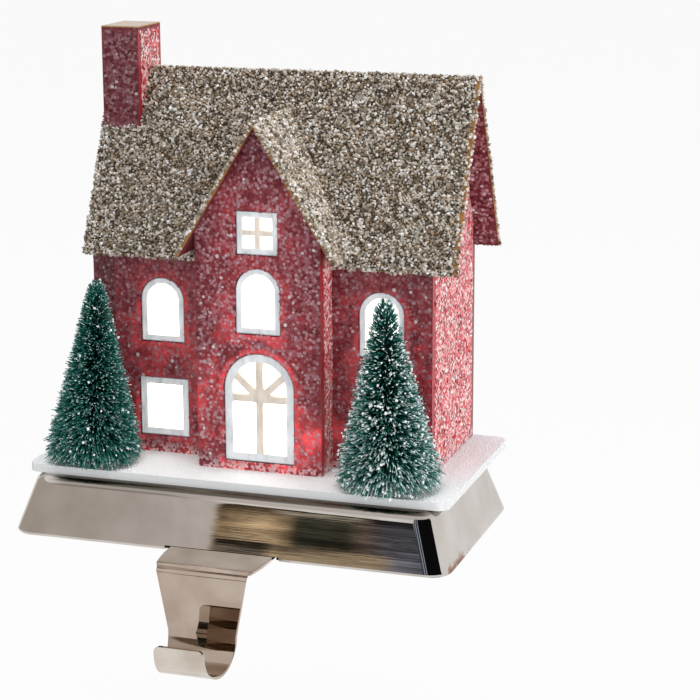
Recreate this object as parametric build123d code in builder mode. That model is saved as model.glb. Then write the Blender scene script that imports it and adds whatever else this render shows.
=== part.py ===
from build123d import *
import os
from math import atan2, cos, radians, sin, sqrt, tan

# Mantel stocking holder: a lit glitter cottage and two brush trees on a snow board, carried by a weighted
# pressed-metal base whose folded strip hook hangs in front of the mantel.
# Millimetres. The origin is the centre of the underside, +X to the right, -Y to the front, +Z up.

# Pressed metal base
base_width = 150.0
base_depth = 79.0
base_height = 19.0
base_taper = 18.0
base_corner_radius = 7.5
base_edge_radius = 4.2
base_wall = 1.0

# Underside: non-slip sheet, closing plate and cast weight
sheet_thickness = 1.5
sheet_gap = 0.5
plate_thickness = 1.2
plate_gap = 0.4
ballast_margin = 3.4
ballast_gap = 0.8

# Screws that clamp plate, weight and base to the board, from below
clamp_screw_radius = 1.5
clamp_screw_head_radius = 2.75
clamp_screw_head_height = 1.3
clamp_screw_inset = 3.6
clamp_screw_grip = 2.0
screw_gap = 0.1

# Folded strip hook
hook_thickness = 1.2
hook_root_width = 35.0
hook_fold_width = 30.0
hook_foot_width = 23.0
hook_lip_width = 16.5
hook_grip = 27.0
hook_reach = 16.5
hook_fold_radius = 2.0
hook_drop = 20.65
hook_throat_radius = 9.0
hook_lip_rise = 2.0
hook_lip_corner = 1.9
hook_notch_gap = 2.0
rivet_radius = 2.0
rivet_head_radius = 3.4
rivet_head_height = 1.1
rivet_spacing = 18.0

# Snow board
board_end_inset = 3.0
board_depth = 77.5
board_thickness = 2.7
board_corner_radius = 4.0
board_setback = 8.95

# Cottage walls
wall_thickness = 2.5
house_x = 4.6
house_width = 110.0
house_depth = 51.0
house_setback = 25.8
bay_width = 42.7
bay_projection = 11.4
bay_opening_margin = 2.0
bay_opening_sill = 6.0
bay_opening_head = 6.0

# Folded card roofs, heights above the board
roof_card = 1.0
eave_height = 67.2
ridge_height = 126.5
eave_overhang = 1.8
rake_overhang_left = 10.1
rake_overhang_right = 8.0
bay_eave_height = 70.7
bay_ridge_height = 114.6
bay_eave_overhang = 5.6
bay_rake_overhang = 2.6

# Clumps of glued granules on the roofs
clump_spacing = 8.6
clump_radius = 3.4
clump_height = 0.7
clump_taper = 50.0
clump_sides = 5
clump_margin = 4.4
clump_shift = 0.7
clump_turn = 137.5

# Chimney
breast_width = 9.5
breast_depth = 42.6
stack_width = 13.1
stack_depth = 18.7
stack_rise = 13.8
stack_wall = 2.0
cap_thickness = 1.2

# Windows and door, sills measured from the board
frame_gap = 0.25
frame_recess = 0.3
pane_thickness = 0.6
pane_margin = 1.8
side_window_offset = 38.0
arched_width = 15.2
arched_height = 21.6
arched_bar = 1.95
square_width = 17.4
square_height = 20.0
square_bar = 2.3
gable_size = 14.1
gable_bar = 1.95
gable_muntin = 1.6
door_width = 24.0
door_height = 36.3
door_bar = 2.7
door_muntin = 2.3
door_transom_height = 21.2
door_fan_angle = 47.0
lower_sill = 5.8
upper_sill = 38.2
door_sill = 3.1
bay_window_sill = 45.8
gable_sill = 71.8

# Brush trees
tree_left_inset = 19.4
tree_right_inset = 22.0
tree_setback = 10.3
tree_left_lean_angle = 2.6
tree_right_lean_angle = -1.5
tree_height = 61.5
tree_radius = 15.0
tree_tip_radius = 3.6
tree_foot_height = 7.0
tree_foot_inset = 2.0
tree_tiers = 12
tree_tier_inset = 0.9
tree_wire_radius = 0.8
tree_wire_depth = 2.0
tree_clearance = 0.3
wire_gap = 0.05

# Lamp
lamp_radius = 2.5
lamp_flange_radius = 2.9
lamp_flange_height = 1.0
lamp_body_height = 5.5
lamp_lead_spacing = 2.54
holder_radius = 3.5
holder_bore_radius = 2.3
holder_flange_radius = 6.0
holder_flange_height = 1.5
holder_height = 18.0
holder_tail = 1.2
holder_gap = 0.15
lead_radius = 0.6
lead_bend_radius = 4.0
lead_height = 7.5

# Battery box, cells and contacts
cell_radius = 5.25
cell_length = 43.5
cell_nub_radius = 1.9
cell_nub_length = 1.0
cell_gap = 0.4
box_wall = 1.2
box_boss = 6.0
box_offset = 10.25
contact_thickness = 0.4
contact_depth = 2.0
contact_width = 8.0
contact_rise = 3.5
contact_fold_radius = 0.5
contact_gap = 0.2
door_gap = 0.3
door_screw_radius = 1.0
door_screw_head_radius = 1.9
door_screw_head_height = 0.9
door_screw_length = 6.0

# Slide switch
switch_length = 11.0
switch_width = 6.0
switch_height = 5.0
switch_offset = 9.75
slider_length = 5.0
slider_width = 3.4
slider_height = 1.8
slider_knob = 2.4
slider_travel = 3.0
slider_gap = 0.2
slider_clear = 0.4
finger_room = 2.5

# Levels and places that follow from the sizes above
plate_top = sheet_thickness + plate_thickness
base_inner_top = base_height - base_wall
board_top = base_height + board_thickness
board_width = base_width - 2 * board_end_inset
board_front = board_setback - board_depth / 2
house_left = house_x - house_width / 2
house_right = house_x + house_width / 2
house_front = board_front + house_setback
house_back = house_front + house_depth
ridge_y = (house_front + house_back) / 2
bay_half = bay_width / 2
bay_front = house_front - bay_projection
tree_y = board_front + tree_setback
tree_left_x = tree_left_inset - board_width / 2
tree_right_x = board_width / 2 - tree_right_inset
base_front = -base_depth / 2
hook_root = base_front + hook_grip
rivet_y = base_front + hook_grip / 2

eave_z = board_top + eave_height
ridge_z = board_top + ridge_height
roof_left = house_left - rake_overhang_left
roof_length = house_width + rake_overhang_left + rake_overhang_right
roof_run = house_depth / 2 + eave_overhang
roof_pitch = atan2(ridge_height - eave_height, roof_run)
front_eave = (ridge_y - roof_run, eave_z)
back_eave = (ridge_y + roof_run, eave_z)
roof_ridge = (ridge_y, ridge_z)

bay_run = bay_half + bay_eave_overhang
bay_pitch = atan2(bay_ridge_height - bay_eave_height, bay_run)
bay_ridge_z = board_top + bay_ridge_height

cell_total = cell_length + cell_nub_length
cavity_length = cell_total + 2 * contact_depth
cavity_width = 4 * cell_radius + 3 * cell_gap
cavity_height = 2 * cell_radius + 2 * cell_gap
box_right = house_x - switch_length / 2
box_left = box_right - box_wall - cavity_length - box_boss
cavity_left = box_left + box_boss
cavity_right = box_right - box_wall
hatch_left = box_left + box_wall
cell_z = plate_top + cell_gap + cell_radius
cell_offset = cell_radius + cell_gap / 2
box_centre_y = ridge_y - box_offset
switch_centre_y = ridge_y - switch_offset

os.makedirs("parts", exist_ok=True)


def save(piece, name):
    piece.part.label = name
    export_step(piece.part, f"parts/{name}.step")


def front_plane(x, y, z):
    """A plane that faces the front, with its own Y axis upwards."""
    return Plane(origin=(x, y, z), x_dir=(1, 0, 0), z_dir=(0, -1, 0))


def base_inside(size, z):
    """Half the clear width inside the base at a height."""
    return size / 2 - base_wall / cos(radians(base_taper)) - z * tan(radians(base_taper))


def roof_under(y):
    """Height of the main roof's underside over a line from front to back."""
    return ridge_z - abs(y - ridge_y) * tan(roof_pitch) - roof_card / cos(roof_pitch)


def bay_under(offset):
    """Height of the bay roof's underside at a distance from the bay's middle."""
    return bay_ridge_z - offset * tan(bay_pitch) - roof_card / cos(bay_pitch)


ballast_half_width = base_inside(base_width, base_inner_top) - ballast_margin
ballast_half_depth = base_inside(base_depth, base_inner_top) - ballast_margin
ballast_corner_radius = base_corner_radius - base_wall - ballast_margin


def clamp_screw_places():
    """The four corners of the cast weight, inset."""
    across = 2 * (ballast_half_width - clamp_screw_inset)
    along = 2 * (ballast_half_depth - clamp_screw_inset)
    return GridLocations(across, along, 2, 2)


def rivet_places():
    return Locations((-rivet_spacing / 2, rivet_y), (rivet_spacing / 2, rivet_y))


# Base shell: a tapered pressing, open below, with a notch for the hook strip in its front foot
with BuildPart() as base_shell:
    with BuildSketch():
        Rectangle(base_width, base_depth)
    extrude(amount=base_height, taper=base_taper)
    slanted_edges = [edge for edge in base_shell.edges() if abs((edge @ 1 - edge @ 0).Z) > base_height / 2]
    fillet(slanted_edges, base_corner_radius)
    fillet(base_shell.faces().sort_by(Axis.Z)[-1].edges(), base_edge_radius)
    offset(amount=-base_wall, openings=base_shell.faces().sort_by(Axis.Z)[0])
    with BuildSketch(Plane.XY.offset(base_inner_top)):
        with clamp_screw_places():
            Circle(clamp_screw_radius + screw_gap)
        with Locations((house_x, ridge_y)):
            Circle(holder_radius + holder_gap)
    extrude(amount=base_wall, mode=Mode.SUBTRACT)
    with BuildSketch(front_plane(0, base_front, 0)):
        Rectangle(
            hook_root_width + 2 * hook_notch_gap,
            sheet_thickness + screw_gap,
            align=(Align.CENTER, Align.MIN),
        )
    extrude(amount=-base_corner_radius, mode=Mode.SUBTRACT)
save(base_shell, "base_shell")

# Closing plate, with the battery hatch, the switch slot and the fasteners' holes
plate_width = 2 * (base_inside(base_width, plate_top) - plate_gap)
plate_depth = 2 * (base_inside(base_depth, plate_top) - plate_gap)
hatch_length = cavity_right - hatch_left
hatch_x = (hatch_left + cavity_right) / 2
with BuildPart() as bottom_plate:
    with BuildSketch(Plane.XY.offset(sheet_thickness)):
        RectangleRounded(plate_width, plate_depth, base_corner_radius)
        with clamp_screw_places():
            Circle(clamp_screw_radius + screw_gap, mode=Mode.SUBTRACT)
        with rivet_places():
            Circle(rivet_radius + screw_gap, mode=Mode.SUBTRACT)
        with Locations((hatch_x, box_centre_y)):
            Rectangle(hatch_length, cavity_width, mode=Mode.SUBTRACT)
        with Locations((house_x, switch_centre_y)):
            Rectangle(
                slider_knob + slider_travel + 2 * slider_gap,
                slider_knob + 2 * slider_gap,
                mode=Mode.SUBTRACT,
            )
    extrude(amount=plate_thickness)
save(bottom_plate, "bottom_plate")

# Non-slip sheet, flush with the base's foot
with BuildPart() as nonslip_sheet:
    with BuildSketch():
        RectangleRounded(plate_width, plate_depth, base_corner_radius)
        with clamp_screw_places():
            Circle(clamp_screw_head_radius + sheet_gap, mode=Mode.SUBTRACT)
        with Locations((0, hook_root + sheet_gap)):
            Rectangle(
                hook_root_width + 2 * sheet_gap,
                plate_depth,
                align=(Align.CENTER, Align.MAX),
                mode=Mode.SUBTRACT,
            )
        with Locations((hatch_x, box_centre_y)):
            Rectangle(hatch_length + 2 * sheet_gap, cavity_width + 2 * sheet_gap, mode=Mode.SUBTRACT)
        with Locations((house_x, switch_centre_y)):
            Rectangle(
                slider_knob + slider_travel + 2 * finger_room,
                slider_knob + 2 * finger_room,
                mode=Mode.SUBTRACT,
            )
    extrude(amount=sheet_thickness)
save(nonslip_sheet, "nonslip_sheet")

# Cast weight, cut away round the battery box, the switch and the lamp's leads
box_half_width = cavity_width / 2 + box_wall
lamp_pocket = switch_length / 2 + ballast_gap
with BuildPart() as ballast:
    with BuildSketch(Plane.XY.offset(plate_top)):
        RectangleRounded(2 * ballast_half_width, 2 * ballast_half_depth, ballast_corner_radius)
        with Locations((box_left - ballast_gap, box_centre_y)):
            Rectangle(
                house_x - box_left + ballast_gap,
                2 * (box_half_width + ballast_gap),
                align=(Align.MIN, Align.CENTER),
                mode=Mode.SUBTRACT,
            )
        with Locations((house_x, ridge_y + holder_radius + ballast_gap)):
            Rectangle(
                2 * lamp_pocket,
                switch_offset + switch_width / 2 + holder_radius + 2 * ballast_gap,
                align=(Align.CENTER, Align.MAX),
                mode=Mode.SUBTRACT,
            )
        with clamp_screw_places():
            Circle(clamp_screw_radius + 2 * screw_gap, mode=Mode.SUBTRACT)
    extrude(amount=base_inner_top - plate_top)
    with BuildSketch(Plane.XY.offset(plate_top)):
        with rivet_places():
            Circle(rivet_head_radius + ballast_gap)
    extrude(amount=rivet_head_height + ballast_gap, mode=Mode.SUBTRACT)
save(ballast, "ballast")

with BuildPart() as clamp_screws:
    with BuildSketch(Plane.XY.offset(sheet_thickness)):
        with clamp_screw_places():
            Circle(clamp_screw_head_radius)
    extrude(amount=-clamp_screw_head_height)
    with BuildSketch(Plane.XY.offset(sheet_thickness)):
        with clamp_screw_places():
            Circle(clamp_screw_radius)
    extrude(amount=base_height + clamp_screw_grip - sheet_thickness)
save(clamp_screws, "clamp_screws")

# Hook: one strip, flat under the base, folded down and rolled up into a J with a rounded lip
hook_mid_z = sheet_thickness - hook_thickness / 2
hook_plate_y = base_front - hook_reach
hook_roll = hook_throat_radius + hook_thickness / 2
hook_roll_z = hook_mid_z - hook_drop
hook_lip_y = hook_plate_y - 2 * hook_roll
hook_lip_top = hook_roll_z + hook_lip_rise
with BuildPart() as hook_outline:
    # The tab in plan: parallel under the base, its sides curving in to the fold
    with BuildSketch(Plane.XY.offset(sheet_thickness)):
        with BuildLine():
            side = Line((hook_root_width / 2, hook_root), (hook_root_width / 2, base_front))
            shoulder = TangentArc(
                side @ 1, (hook_fold_width / 2, hook_plate_y - hook_fold_radius), tangent=side % 1
            )
            Line(shoulder @ 1, (0, hook_plate_y - hook_fold_radius))
            Line((0, hook_root), side @ 0)
            mirror(about=Plane.YZ)
        make_face()
        with rivet_places():
            Circle(rivet_radius + screw_gap, mode=Mode.SUBTRACT)
    extrude(amount=-hook_fold_radius - hook_thickness)
    # The plate from the front: tapering from the fold to the roll
    with BuildSketch(front_plane(0, hook_plate_y + hook_fold_radius, 0)):
        with BuildLine():
            Polyline(
                (0, hook_mid_z),
                (hook_fold_width / 2, hook_mid_z),
                (hook_foot_width / 2, hook_roll_z),
                (0, hook_roll_z),
            )
            mirror(about=Plane.YZ)
        make_face()
    extrude(amount=hook_fold_radius + hook_thickness)
    # The roll in plan: tapering from the plate to the lip
    with BuildSketch(Plane.XY.offset(hook_roll_z)):
        with BuildLine():
            Polyline(
                (0, hook_plate_y + hook_thickness),
                (hook_foot_width / 2, hook_plate_y + hook_thickness),
                (hook_foot_width / 2, hook_plate_y),
                (hook_lip_width / 2, hook_lip_y),
                (hook_lip_width / 2, hook_lip_y - hook_thickness),
                (0, hook_lip_y - hook_thickness),
            )
            mirror(about=Plane.YZ)
        make_face()
    extrude(amount=-hook_roll - hook_thickness)
    # The lip from the front: straight sides and rounded upper corners
    with BuildSketch(front_plane(0, hook_lip_y + hook_thickness, hook_roll_z)) as lip:
        Rectangle(hook_lip_width, hook_lip_rise, align=(Align.CENTER, Align.MIN))
        fillet(lip.vertices().group_by(Axis.Y)[-1], hook_lip_corner)
    extrude(amount=2 * hook_thickness)

with BuildPart() as hook:
    with BuildSketch(Plane.YZ):
        with BuildLine():
            FilletPolyline(
                (hook_root, hook_mid_z),
                (hook_plate_y, hook_mid_z),
                (hook_plate_y, hook_roll_z),
                radius=hook_fold_radius,
            )
            roll = CenterArc((hook_plate_y - hook_roll, hook_roll_z), hook_roll, 0, -180)
            Line(roll @ 1, (hook_lip_y, hook_lip_top))
        trace(line_width=hook_thickness)
    extrude(amount=hook_root_width, both=True)
    add(hook_outline.part, mode=Mode.INTERSECT)
save(hook, "hook")

with BuildPart() as hook_rivets:
    with BuildSketch():
        with rivet_places():
            Circle(rivet_head_radius)
    extrude(amount=sheet_thickness - hook_thickness)
    with BuildSketch():
        with rivet_places():
            Circle(rivet_radius)
    extrude(amount=plate_top)
    with BuildSketch(Plane.XY.offset(plate_top)):
        with rivet_places():
            Circle(rivet_head_radius)
    extrude(amount=rivet_head_height)
save(hook_rivets, "hook_rivets")


# Battery box: open below over the plate's hatch, with a solid boss for the hatch screw at one end
with BuildPart() as battery_box:
    with BuildSketch(Plane.XY.offset(plate_top)):
        with Locations((box_left, box_centre_y)):
            Rectangle(box_right - box_left, 2 * box_half_width, align=(Align.MIN, Align.CENTER))
    extrude(amount=cavity_height + box_wall)
    with BuildSketch(Plane.XY.offset(plate_top)):
        with Locations((cavity_left, box_centre_y)):
            Rectangle(cavity_length, cavity_width, align=(Align.MIN, Align.CENTER))
    extrude(amount=cavity_height, mode=Mode.SUBTRACT)
    hatch_screw_x = (hatch_left + cavity_left) / 2
    with BuildSketch(Plane.XY.offset(plate_top)):
        with Locations((hatch_screw_x, box_centre_y)):
            Circle(door_screw_radius + screw_gap)
    extrude(amount=door_screw_length, mode=Mode.SUBTRACT)
save(battery_box, "battery_box")

with BuildPart() as battery_door:
    with BuildSketch(Plane.XY.offset(sheet_thickness)):
        with Locations((hatch_x, box_centre_y)):
            Rectangle(hatch_length - 2 * door_gap, cavity_width - 2 * door_gap)
        with Locations((hatch_screw_x, box_centre_y)):
            Circle(door_screw_radius + screw_gap, mode=Mode.SUBTRACT)
    extrude(amount=plate_thickness)
save(battery_door, "battery_door")

with BuildPart() as battery_door_screw:
    with BuildSketch(Plane.XY.offset(sheet_thickness)):
        with Locations((hatch_screw_x, box_centre_y)):
            Circle(door_screw_head_radius)
    extrude(amount=-door_screw_head_height)
    with BuildSketch(Plane.XY.offset(sheet_thickness)):
        with Locations((hatch_screw_x, box_centre_y)):
            Circle(door_screw_radius)
    extrude(amount=door_screw_length)
save(battery_door_screw, "battery_door_screw")


def build_cell(name, y, facing):
    """One cell lying along X, its button end towards facing."""
    middle_x = (cavity_left + cavity_right) / 2
    foot_x = middle_x - facing * cell_total / 2
    with BuildPart() as cell:
        with BuildSketch(Plane(origin=(foot_x, y, cell_z), x_dir=(0, 1, 0), z_dir=(facing, 0, 0))):
            Circle(cell_radius)
        extrude(amount=cell_length)
        with BuildSketch(Plane(origin=(foot_x, y, cell_z), x_dir=(0, 1, 0), z_dir=(facing, 0, 0))):
            Circle(cell_nub_radius)
        extrude(amount=cell_total)
    save(cell, name)


def build_contact(name, wall_x, y, facing, width):
    """A spring leaf folded up from an end wall of the box to a cell's end."""
    with BuildPart() as contact:
        with BuildSketch(Plane(origin=(wall_x, y, cell_z), x_dir=(facing, 0, 0), z_dir=(0, -facing, 0))):
            with BuildLine():
                FilletPolyline(
                    (contact_thickness / 2, contact_rise),
                    (contact_thickness / 2, -contact_rise),
                    (contact_depth - contact_thickness / 2 - contact_gap, 0),
                    radius=contact_fold_radius,
                )
            trace(line_width=contact_thickness)
        extrude(amount=width / 2, both=True)
    save(contact, name)


front_cell_y = box_centre_y - cell_offset
back_cell_y = box_centre_y + cell_offset
build_cell("battery_cell_front", front_cell_y, -1)
build_cell("battery_cell_back", back_cell_y, 1)
build_contact("contact_bridge", cavity_left, box_centre_y, 1, 2 * cell_offset + contact_width)
build_contact("contact_negative", cavity_right, front_cell_y, -1, contact_width)
build_contact("contact_positive", cavity_right, back_cell_y, -1, contact_width)

# Slide switch: a body on the plate beside the box, and a slider whose knob stands in the plate's slot
carriage_room = slider_length + slider_travel + 2 * slider_gap
with BuildPart() as switch_body:
    with BuildSketch(Plane.XY.offset(plate_top)):
        with Locations((house_x, switch_centre_y)):
            Rectangle(switch_length, switch_width)
    extrude(amount=switch_height)
    with BuildSketch(Plane.XY.offset(plate_top)):
        with Locations((house_x, switch_centre_y)):
            Rectangle(carriage_room, slider_width + 2 * slider_gap)
    extrude(amount=slider_height + 2 * slider_gap, mode=Mode.SUBTRACT)
save(switch_body, "switch_body")

slider_x = house_x - slider_travel / 2
with BuildPart() as switch_slider:
    with BuildSketch(Plane.XY.offset(plate_top + slider_gap)):
        with Locations((slider_x, switch_centre_y)):
            Rectangle(slider_length, slider_width)
    extrude(amount=slider_height)
    with BuildSketch(Plane.XY.offset(slider_clear)):
        with Locations((slider_x, switch_centre_y)):
            Rectangle(slider_knob, slider_knob)
    extrude(amount=plate_top + slider_gap - slider_clear)
save(switch_slider, "switch_slider")

# Lamp on its holder, and the two leads that rise through the holder's bore
holder_top = board_top + holder_height
lead_offset = lamp_lead_spacing / 2
with BuildPart() as lamp_holder:
    with BuildSketch(Plane.XY.offset(base_inner_top - holder_tail)):
        with Locations((house_x, ridge_y)):
            Circle(holder_radius)
    extrude(amount=holder_top - base_inner_top + holder_tail)
    with BuildSketch(Plane.XY.offset(board_top)):
        with Locations((house_x, ridge_y)):
            Circle(holder_flange_radius)
    extrude(amount=holder_flange_height)
    with BuildSketch(Plane.XY.offset(base_inner_top - holder_tail)):
        with Locations((house_x, ridge_y)):
            Circle(holder_bore_radius)
    extrude(amount=holder_top - base_inner_top + holder_tail, mode=Mode.SUBTRACT)
save(lamp_holder, "lamp_holder")

with BuildPart() as lamp:
    with BuildSketch(front_plane(house_x, ridge_y, holder_top)):
        with BuildLine():
            Polyline(
                (0, 0),
                (lamp_flange_radius, 0),
                (lamp_flange_radius, lamp_flange_height),
                (lamp_radius, lamp_flange_height),
                (lamp_radius, lamp_body_height),
            )
            dome = CenterArc((0, lamp_body_height), lamp_radius, 0, 90)
            Line(dome @ 1, (0, 0))
        make_face()
    revolve(axis=Axis((house_x, ridge_y, 0), (0, 0, 1)))
save(lamp, "lamp")


def build_lead(name, plane, run):
    """A lead that runs level for a distance on its plane, bends up and rises to the lamp."""
    with BuildPart() as lead:
        with BuildLine(plane):
            level = Line((0, 0), (run - lead_bend_radius, 0))
            turn = JernArc(level @ 1, level % 1, lead_bend_radius, 90)
            Line(turn @ 1, (run, holder_top - plane.origin.Z))
        with BuildSketch(Plane(origin=plane.origin, z_dir=plane.x_dir)):
            Circle(lead_radius)
        sweep()
    save(lead, name)


switch_back = switch_centre_y + switch_width / 2
build_lead(
    "lead_positive",
    front_plane(box_right, ridge_y + lead_offset, lead_height),
    house_x - box_right,
)
build_lead(
    "lead_negative",
    Plane(origin=(house_x, switch_back, plate_top + switch_height / 2), x_dir=(0, 1, 0), z_dir=(1, 0, 0)),
    ridge_y - lead_offset - switch_back,
)


def tree_plane(x, lean, height):
    """A level plane on a tree's axis, tilted sideways with the tree."""
    upright = Vector(sin(radians(lean)), 0, cos(radians(lean)))
    return Plane(origin=Vector(x, tree_y, board_top) + upright * height, z_dir=upright)


# Snow board
with BuildPart() as snow_board:
    with BuildSketch(Plane.XY.offset(base_height)):
        with Locations((0, board_setback)):
            RectangleRounded(board_width, board_depth, board_corner_radius)
        with Locations((house_x, ridge_y)):
            Circle(holder_radius + holder_gap, mode=Mode.SUBTRACT)
    extrude(amount=board_thickness)
    with BuildSketch(Plane.XY.offset(base_height)):
        with clamp_screw_places():
            Circle(clamp_screw_radius + screw_gap)
    extrude(amount=clamp_screw_grip + screw_gap, mode=Mode.SUBTRACT)
    for tree_x, tree_lean in ((tree_left_x, tree_left_lean_angle), (tree_right_x, tree_right_lean_angle)):
        with BuildSketch(tree_plane(tree_x, tree_lean, -tree_wire_depth - wire_gap)):
            Circle(tree_wire_radius + wire_gap)
        extrude(amount=tree_wire_depth + board_thickness, mode=Mode.SUBTRACT)
save(snow_board, "snow_board")


def build_tree(side, x, lean):
    """A brush tree: a wire stem set in the board and tiers of bristles that narrow to a round tip."""
    with BuildPart() as wire:
        with BuildSketch(tree_plane(x, lean, -tree_wire_depth)):
            Circle(tree_wire_radius)
        extrude(amount=tree_wire_depth + tree_height - tree_tip_radius)
    save(wire, f"tree_wire_{side}")

    bore = tree_wire_radius + wire_gap
    crown = tree_height - tree_tip_radius
    tier = (crown - tree_foot_height) / tree_tiers
    narrowing = (tree_radius - tree_tip_radius) / tree_tiers
    foot_radius = tree_radius - tree_foot_inset
    foot = tree_clearance + foot_radius * sin(radians(abs(lean)))
    along = Vector(cos(radians(lean)), 0, -sin(radians(lean)))
    upright = Plane(origin=(x, tree_y, board_top), x_dir=along, z_dir=(0, -1, 0))
    outline = [(bore, crown + wire_gap), (bore, foot), (foot_radius, foot)]
    for step in range(tree_tiers):
        radius = tree_radius - step * narrowing
        height = tree_foot_height + step * tier
        outline.append((radius, height))
        outline.append((radius - narrowing - tree_tier_inset, height + tier))
    outline.append((tree_tip_radius, crown))
    with BuildPart() as bristles:
        with BuildSketch(upright):
            with BuildLine():
                Polyline((0, crown + wire_gap), *outline)
                tip = CenterArc((0, crown), tree_tip_radius, 0, 90)
                Line(tip @ 1, (0, crown + wire_gap))
            make_face()
        revolve(axis=Axis((x, tree_y, board_top), tuple(upright.y_dir)))
    save(bristles, f"tree_bristles_{side}")


build_tree("left", tree_left_x, tree_left_lean_angle)
build_tree("right", tree_right_x, tree_right_lean_angle)


class Opening:
    """A window or door: its outline, its place in a wall and the bars across it."""

    def __init__(self, name, x, wall_front, sill, width, height, bar, arched=False, bars=None):
        self.name = name
        self.x = x
        self.wall_front = wall_front
        self.sill = board_top + sill
        self.width = width
        self.height = height
        self.bar = bar
        self.arched = arched
        self.bars = bars

    def outline(self, grow, mode=Mode.ADD):
        """Draw the outline, grown all round, from the middle of the sill upwards."""
        top = self.height - self.width / 2 if self.arched else self.height + grow
        with Locations((0, -grow)):
            Rectangle(self.width + 2 * grow, top + grow, align=(Align.CENTER, Align.MIN), mode=mode)
        if self.arched:
            with Locations((0, top)):
                Circle(self.width / 2 + grow, mode=mode)


def gable_bars(opening):
    with Locations((0, opening.height / 2)):
        Rectangle(gable_muntin, opening.height - opening.bar)
        Rectangle(opening.width - opening.bar, gable_muntin)


def door_bars(opening):
    """A transom, an upright and two fan bars that spread from the transom's middle to the arch."""
    with Locations((0, door_transom_height)):
        Rectangle(opening.width - opening.bar, door_muntin)
    with Locations((0, opening.bar / 2)):
        Rectangle(door_muntin, opening.height - opening.bar, align=(Align.CENTER, Align.MIN))
    rise = opening.height - opening.width / 2 - door_transom_height
    arch_middle = (opening.width - opening.bar) / 2
    lean = radians(door_fan_angle)
    reach = rise * cos(lean) + sqrt(arch_middle**2 - (rise * sin(lean)) ** 2)
    for angle in (-door_fan_angle, door_fan_angle):
        with Locations(Location((0, door_transom_height, 0), (0, 0, angle))):
            Rectangle(door_muntin, reach, align=(Align.CENTER, Align.MIN))


def build_window(opening):
    """The frame, set back a little in the wall, and the pane glued behind it."""
    plane = front_plane(opening.x, opening.wall_front + wall_thickness, opening.sill)
    with BuildPart() as frame:
        with BuildSketch(plane):
            opening.outline(0)
            opening.outline(-opening.bar, mode=Mode.SUBTRACT)
            if opening.bars:
                opening.bars(opening)
        extrude(amount=wall_thickness - frame_recess)
    save(frame, f"{opening.name}_frame")
    with BuildPart() as pane:
        with BuildSketch(plane):
            opening.outline(pane_margin)
        extrude(amount=-pane_thickness)
    save(pane, f"{opening.name}_pane")


front_openings = []
for side_name, side_sign in (("left", -1), ("right", 1)):
    window_x = house_x + side_sign * side_window_offset
    front_openings.append(
        Opening(
            f"{side_name}_upper_window", window_x, house_front, upper_sill,
            arched_width, arched_height, arched_bar, arched=True,
        )
    )
    front_openings.append(
        Opening(
            f"{side_name}_lower_window", window_x, house_front, lower_sill,
            square_width, square_height, square_bar,
        )
    )
bay_openings = [
    Opening(
        "door", house_x, bay_front, door_sill,
        door_width, door_height, door_bar, arched=True, bars=door_bars,
    ),
    Opening(
        "bay_window", house_x, bay_front, bay_window_sill,
        arched_width, arched_height, arched_bar, arched=True,
    ),
    Opening(
        "gable_window", house_x, bay_front, gable_sill,
        gable_size, gable_size, gable_bar, bars=gable_bars,
    ),
]
for opening in front_openings + bay_openings:
    build_window(opening)

# Front wall: bevelled under the roof, with its windows and a wide opening that lights the bay
with BuildPart() as front_wall:
    with BuildSketch(Plane.YZ.offset(house_left)):
        with BuildLine():
            Polyline(
                (house_front, board_top),
                (house_front + wall_thickness, board_top),
                (house_front + wall_thickness, roof_under(house_front + wall_thickness)),
                (house_front, roof_under(house_front)),
                close=True,
            )
        make_face()
    extrude(amount=house_width)
    for opening in front_openings:
        with BuildSketch(front_plane(opening.x, house_front, opening.sill)):
            opening.outline(frame_gap)
        extrude(amount=-wall_thickness, mode=Mode.SUBTRACT)
    with BuildSketch(front_plane(house_x, house_front, board_top + bay_opening_sill)):
        Rectangle(
            bay_width - 2 * wall_thickness - 2 * bay_opening_margin,
            eave_height - bay_opening_sill - bay_opening_head,
            align=(Align.CENTER, Align.MIN),
        )
    extrude(amount=-wall_thickness, mode=Mode.SUBTRACT)
save(front_wall, "front_wall")

with BuildPart() as back_wall:
    with BuildSketch(Plane.YZ.offset(house_left)):
        with BuildLine():
            Polyline(
                (house_back, board_top),
                (house_back - wall_thickness, board_top),
                (house_back - wall_thickness, roof_under(house_back - wall_thickness)),
                (house_back, roof_under(house_back)),
                close=True,
            )
        make_face()
    extrude(amount=house_width)
save(back_wall, "back_wall")


def gable_outline(half_depth):
    """Corners of a gable end under the main roof, as wide from front to back as asked."""
    return [
        (ridge_y - half_depth, board_top),
        (ridge_y + half_depth, board_top),
        (ridge_y + half_depth, roof_under(ridge_y + half_depth)),
        (ridge_y, roof_under(ridge_y)),
        (ridge_y - half_depth, roof_under(ridge_y - half_depth)),
    ]


def build_gable_wall(name, x):
    with BuildPart() as gable_wall:
        with BuildSketch(Plane.YZ.offset(x)):
            with BuildLine():
                Polyline(*gable_outline(house_depth / 2 - wall_thickness), close=True)
            make_face()
        extrude(amount=wall_thickness)
    save(gable_wall, name)


build_gable_wall("left_wall", house_left)
build_gable_wall("right_wall", house_right - wall_thickness)

# Bay: a gabled front and two cheeks that stop under the main roof
with BuildPart() as bay_front_wall:
    with BuildSketch(front_plane(house_x, bay_front, 0)):
        with BuildLine():
            Polyline(
                (-bay_half, board_top),
                (bay_half, board_top),
                (bay_half, bay_under(bay_half)),
                (0, bay_under(0)),
                (-bay_half, bay_under(bay_half)),
                close=True,
            )
        make_face()
    extrude(amount=-wall_thickness)
    for opening in bay_openings:
        with BuildSketch(front_plane(opening.x, bay_front, opening.sill)):
            opening.outline(frame_gap)
        extrude(amount=-wall_thickness, mode=Mode.SUBTRACT)
save(bay_front_wall, "bay_front_wall")

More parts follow.
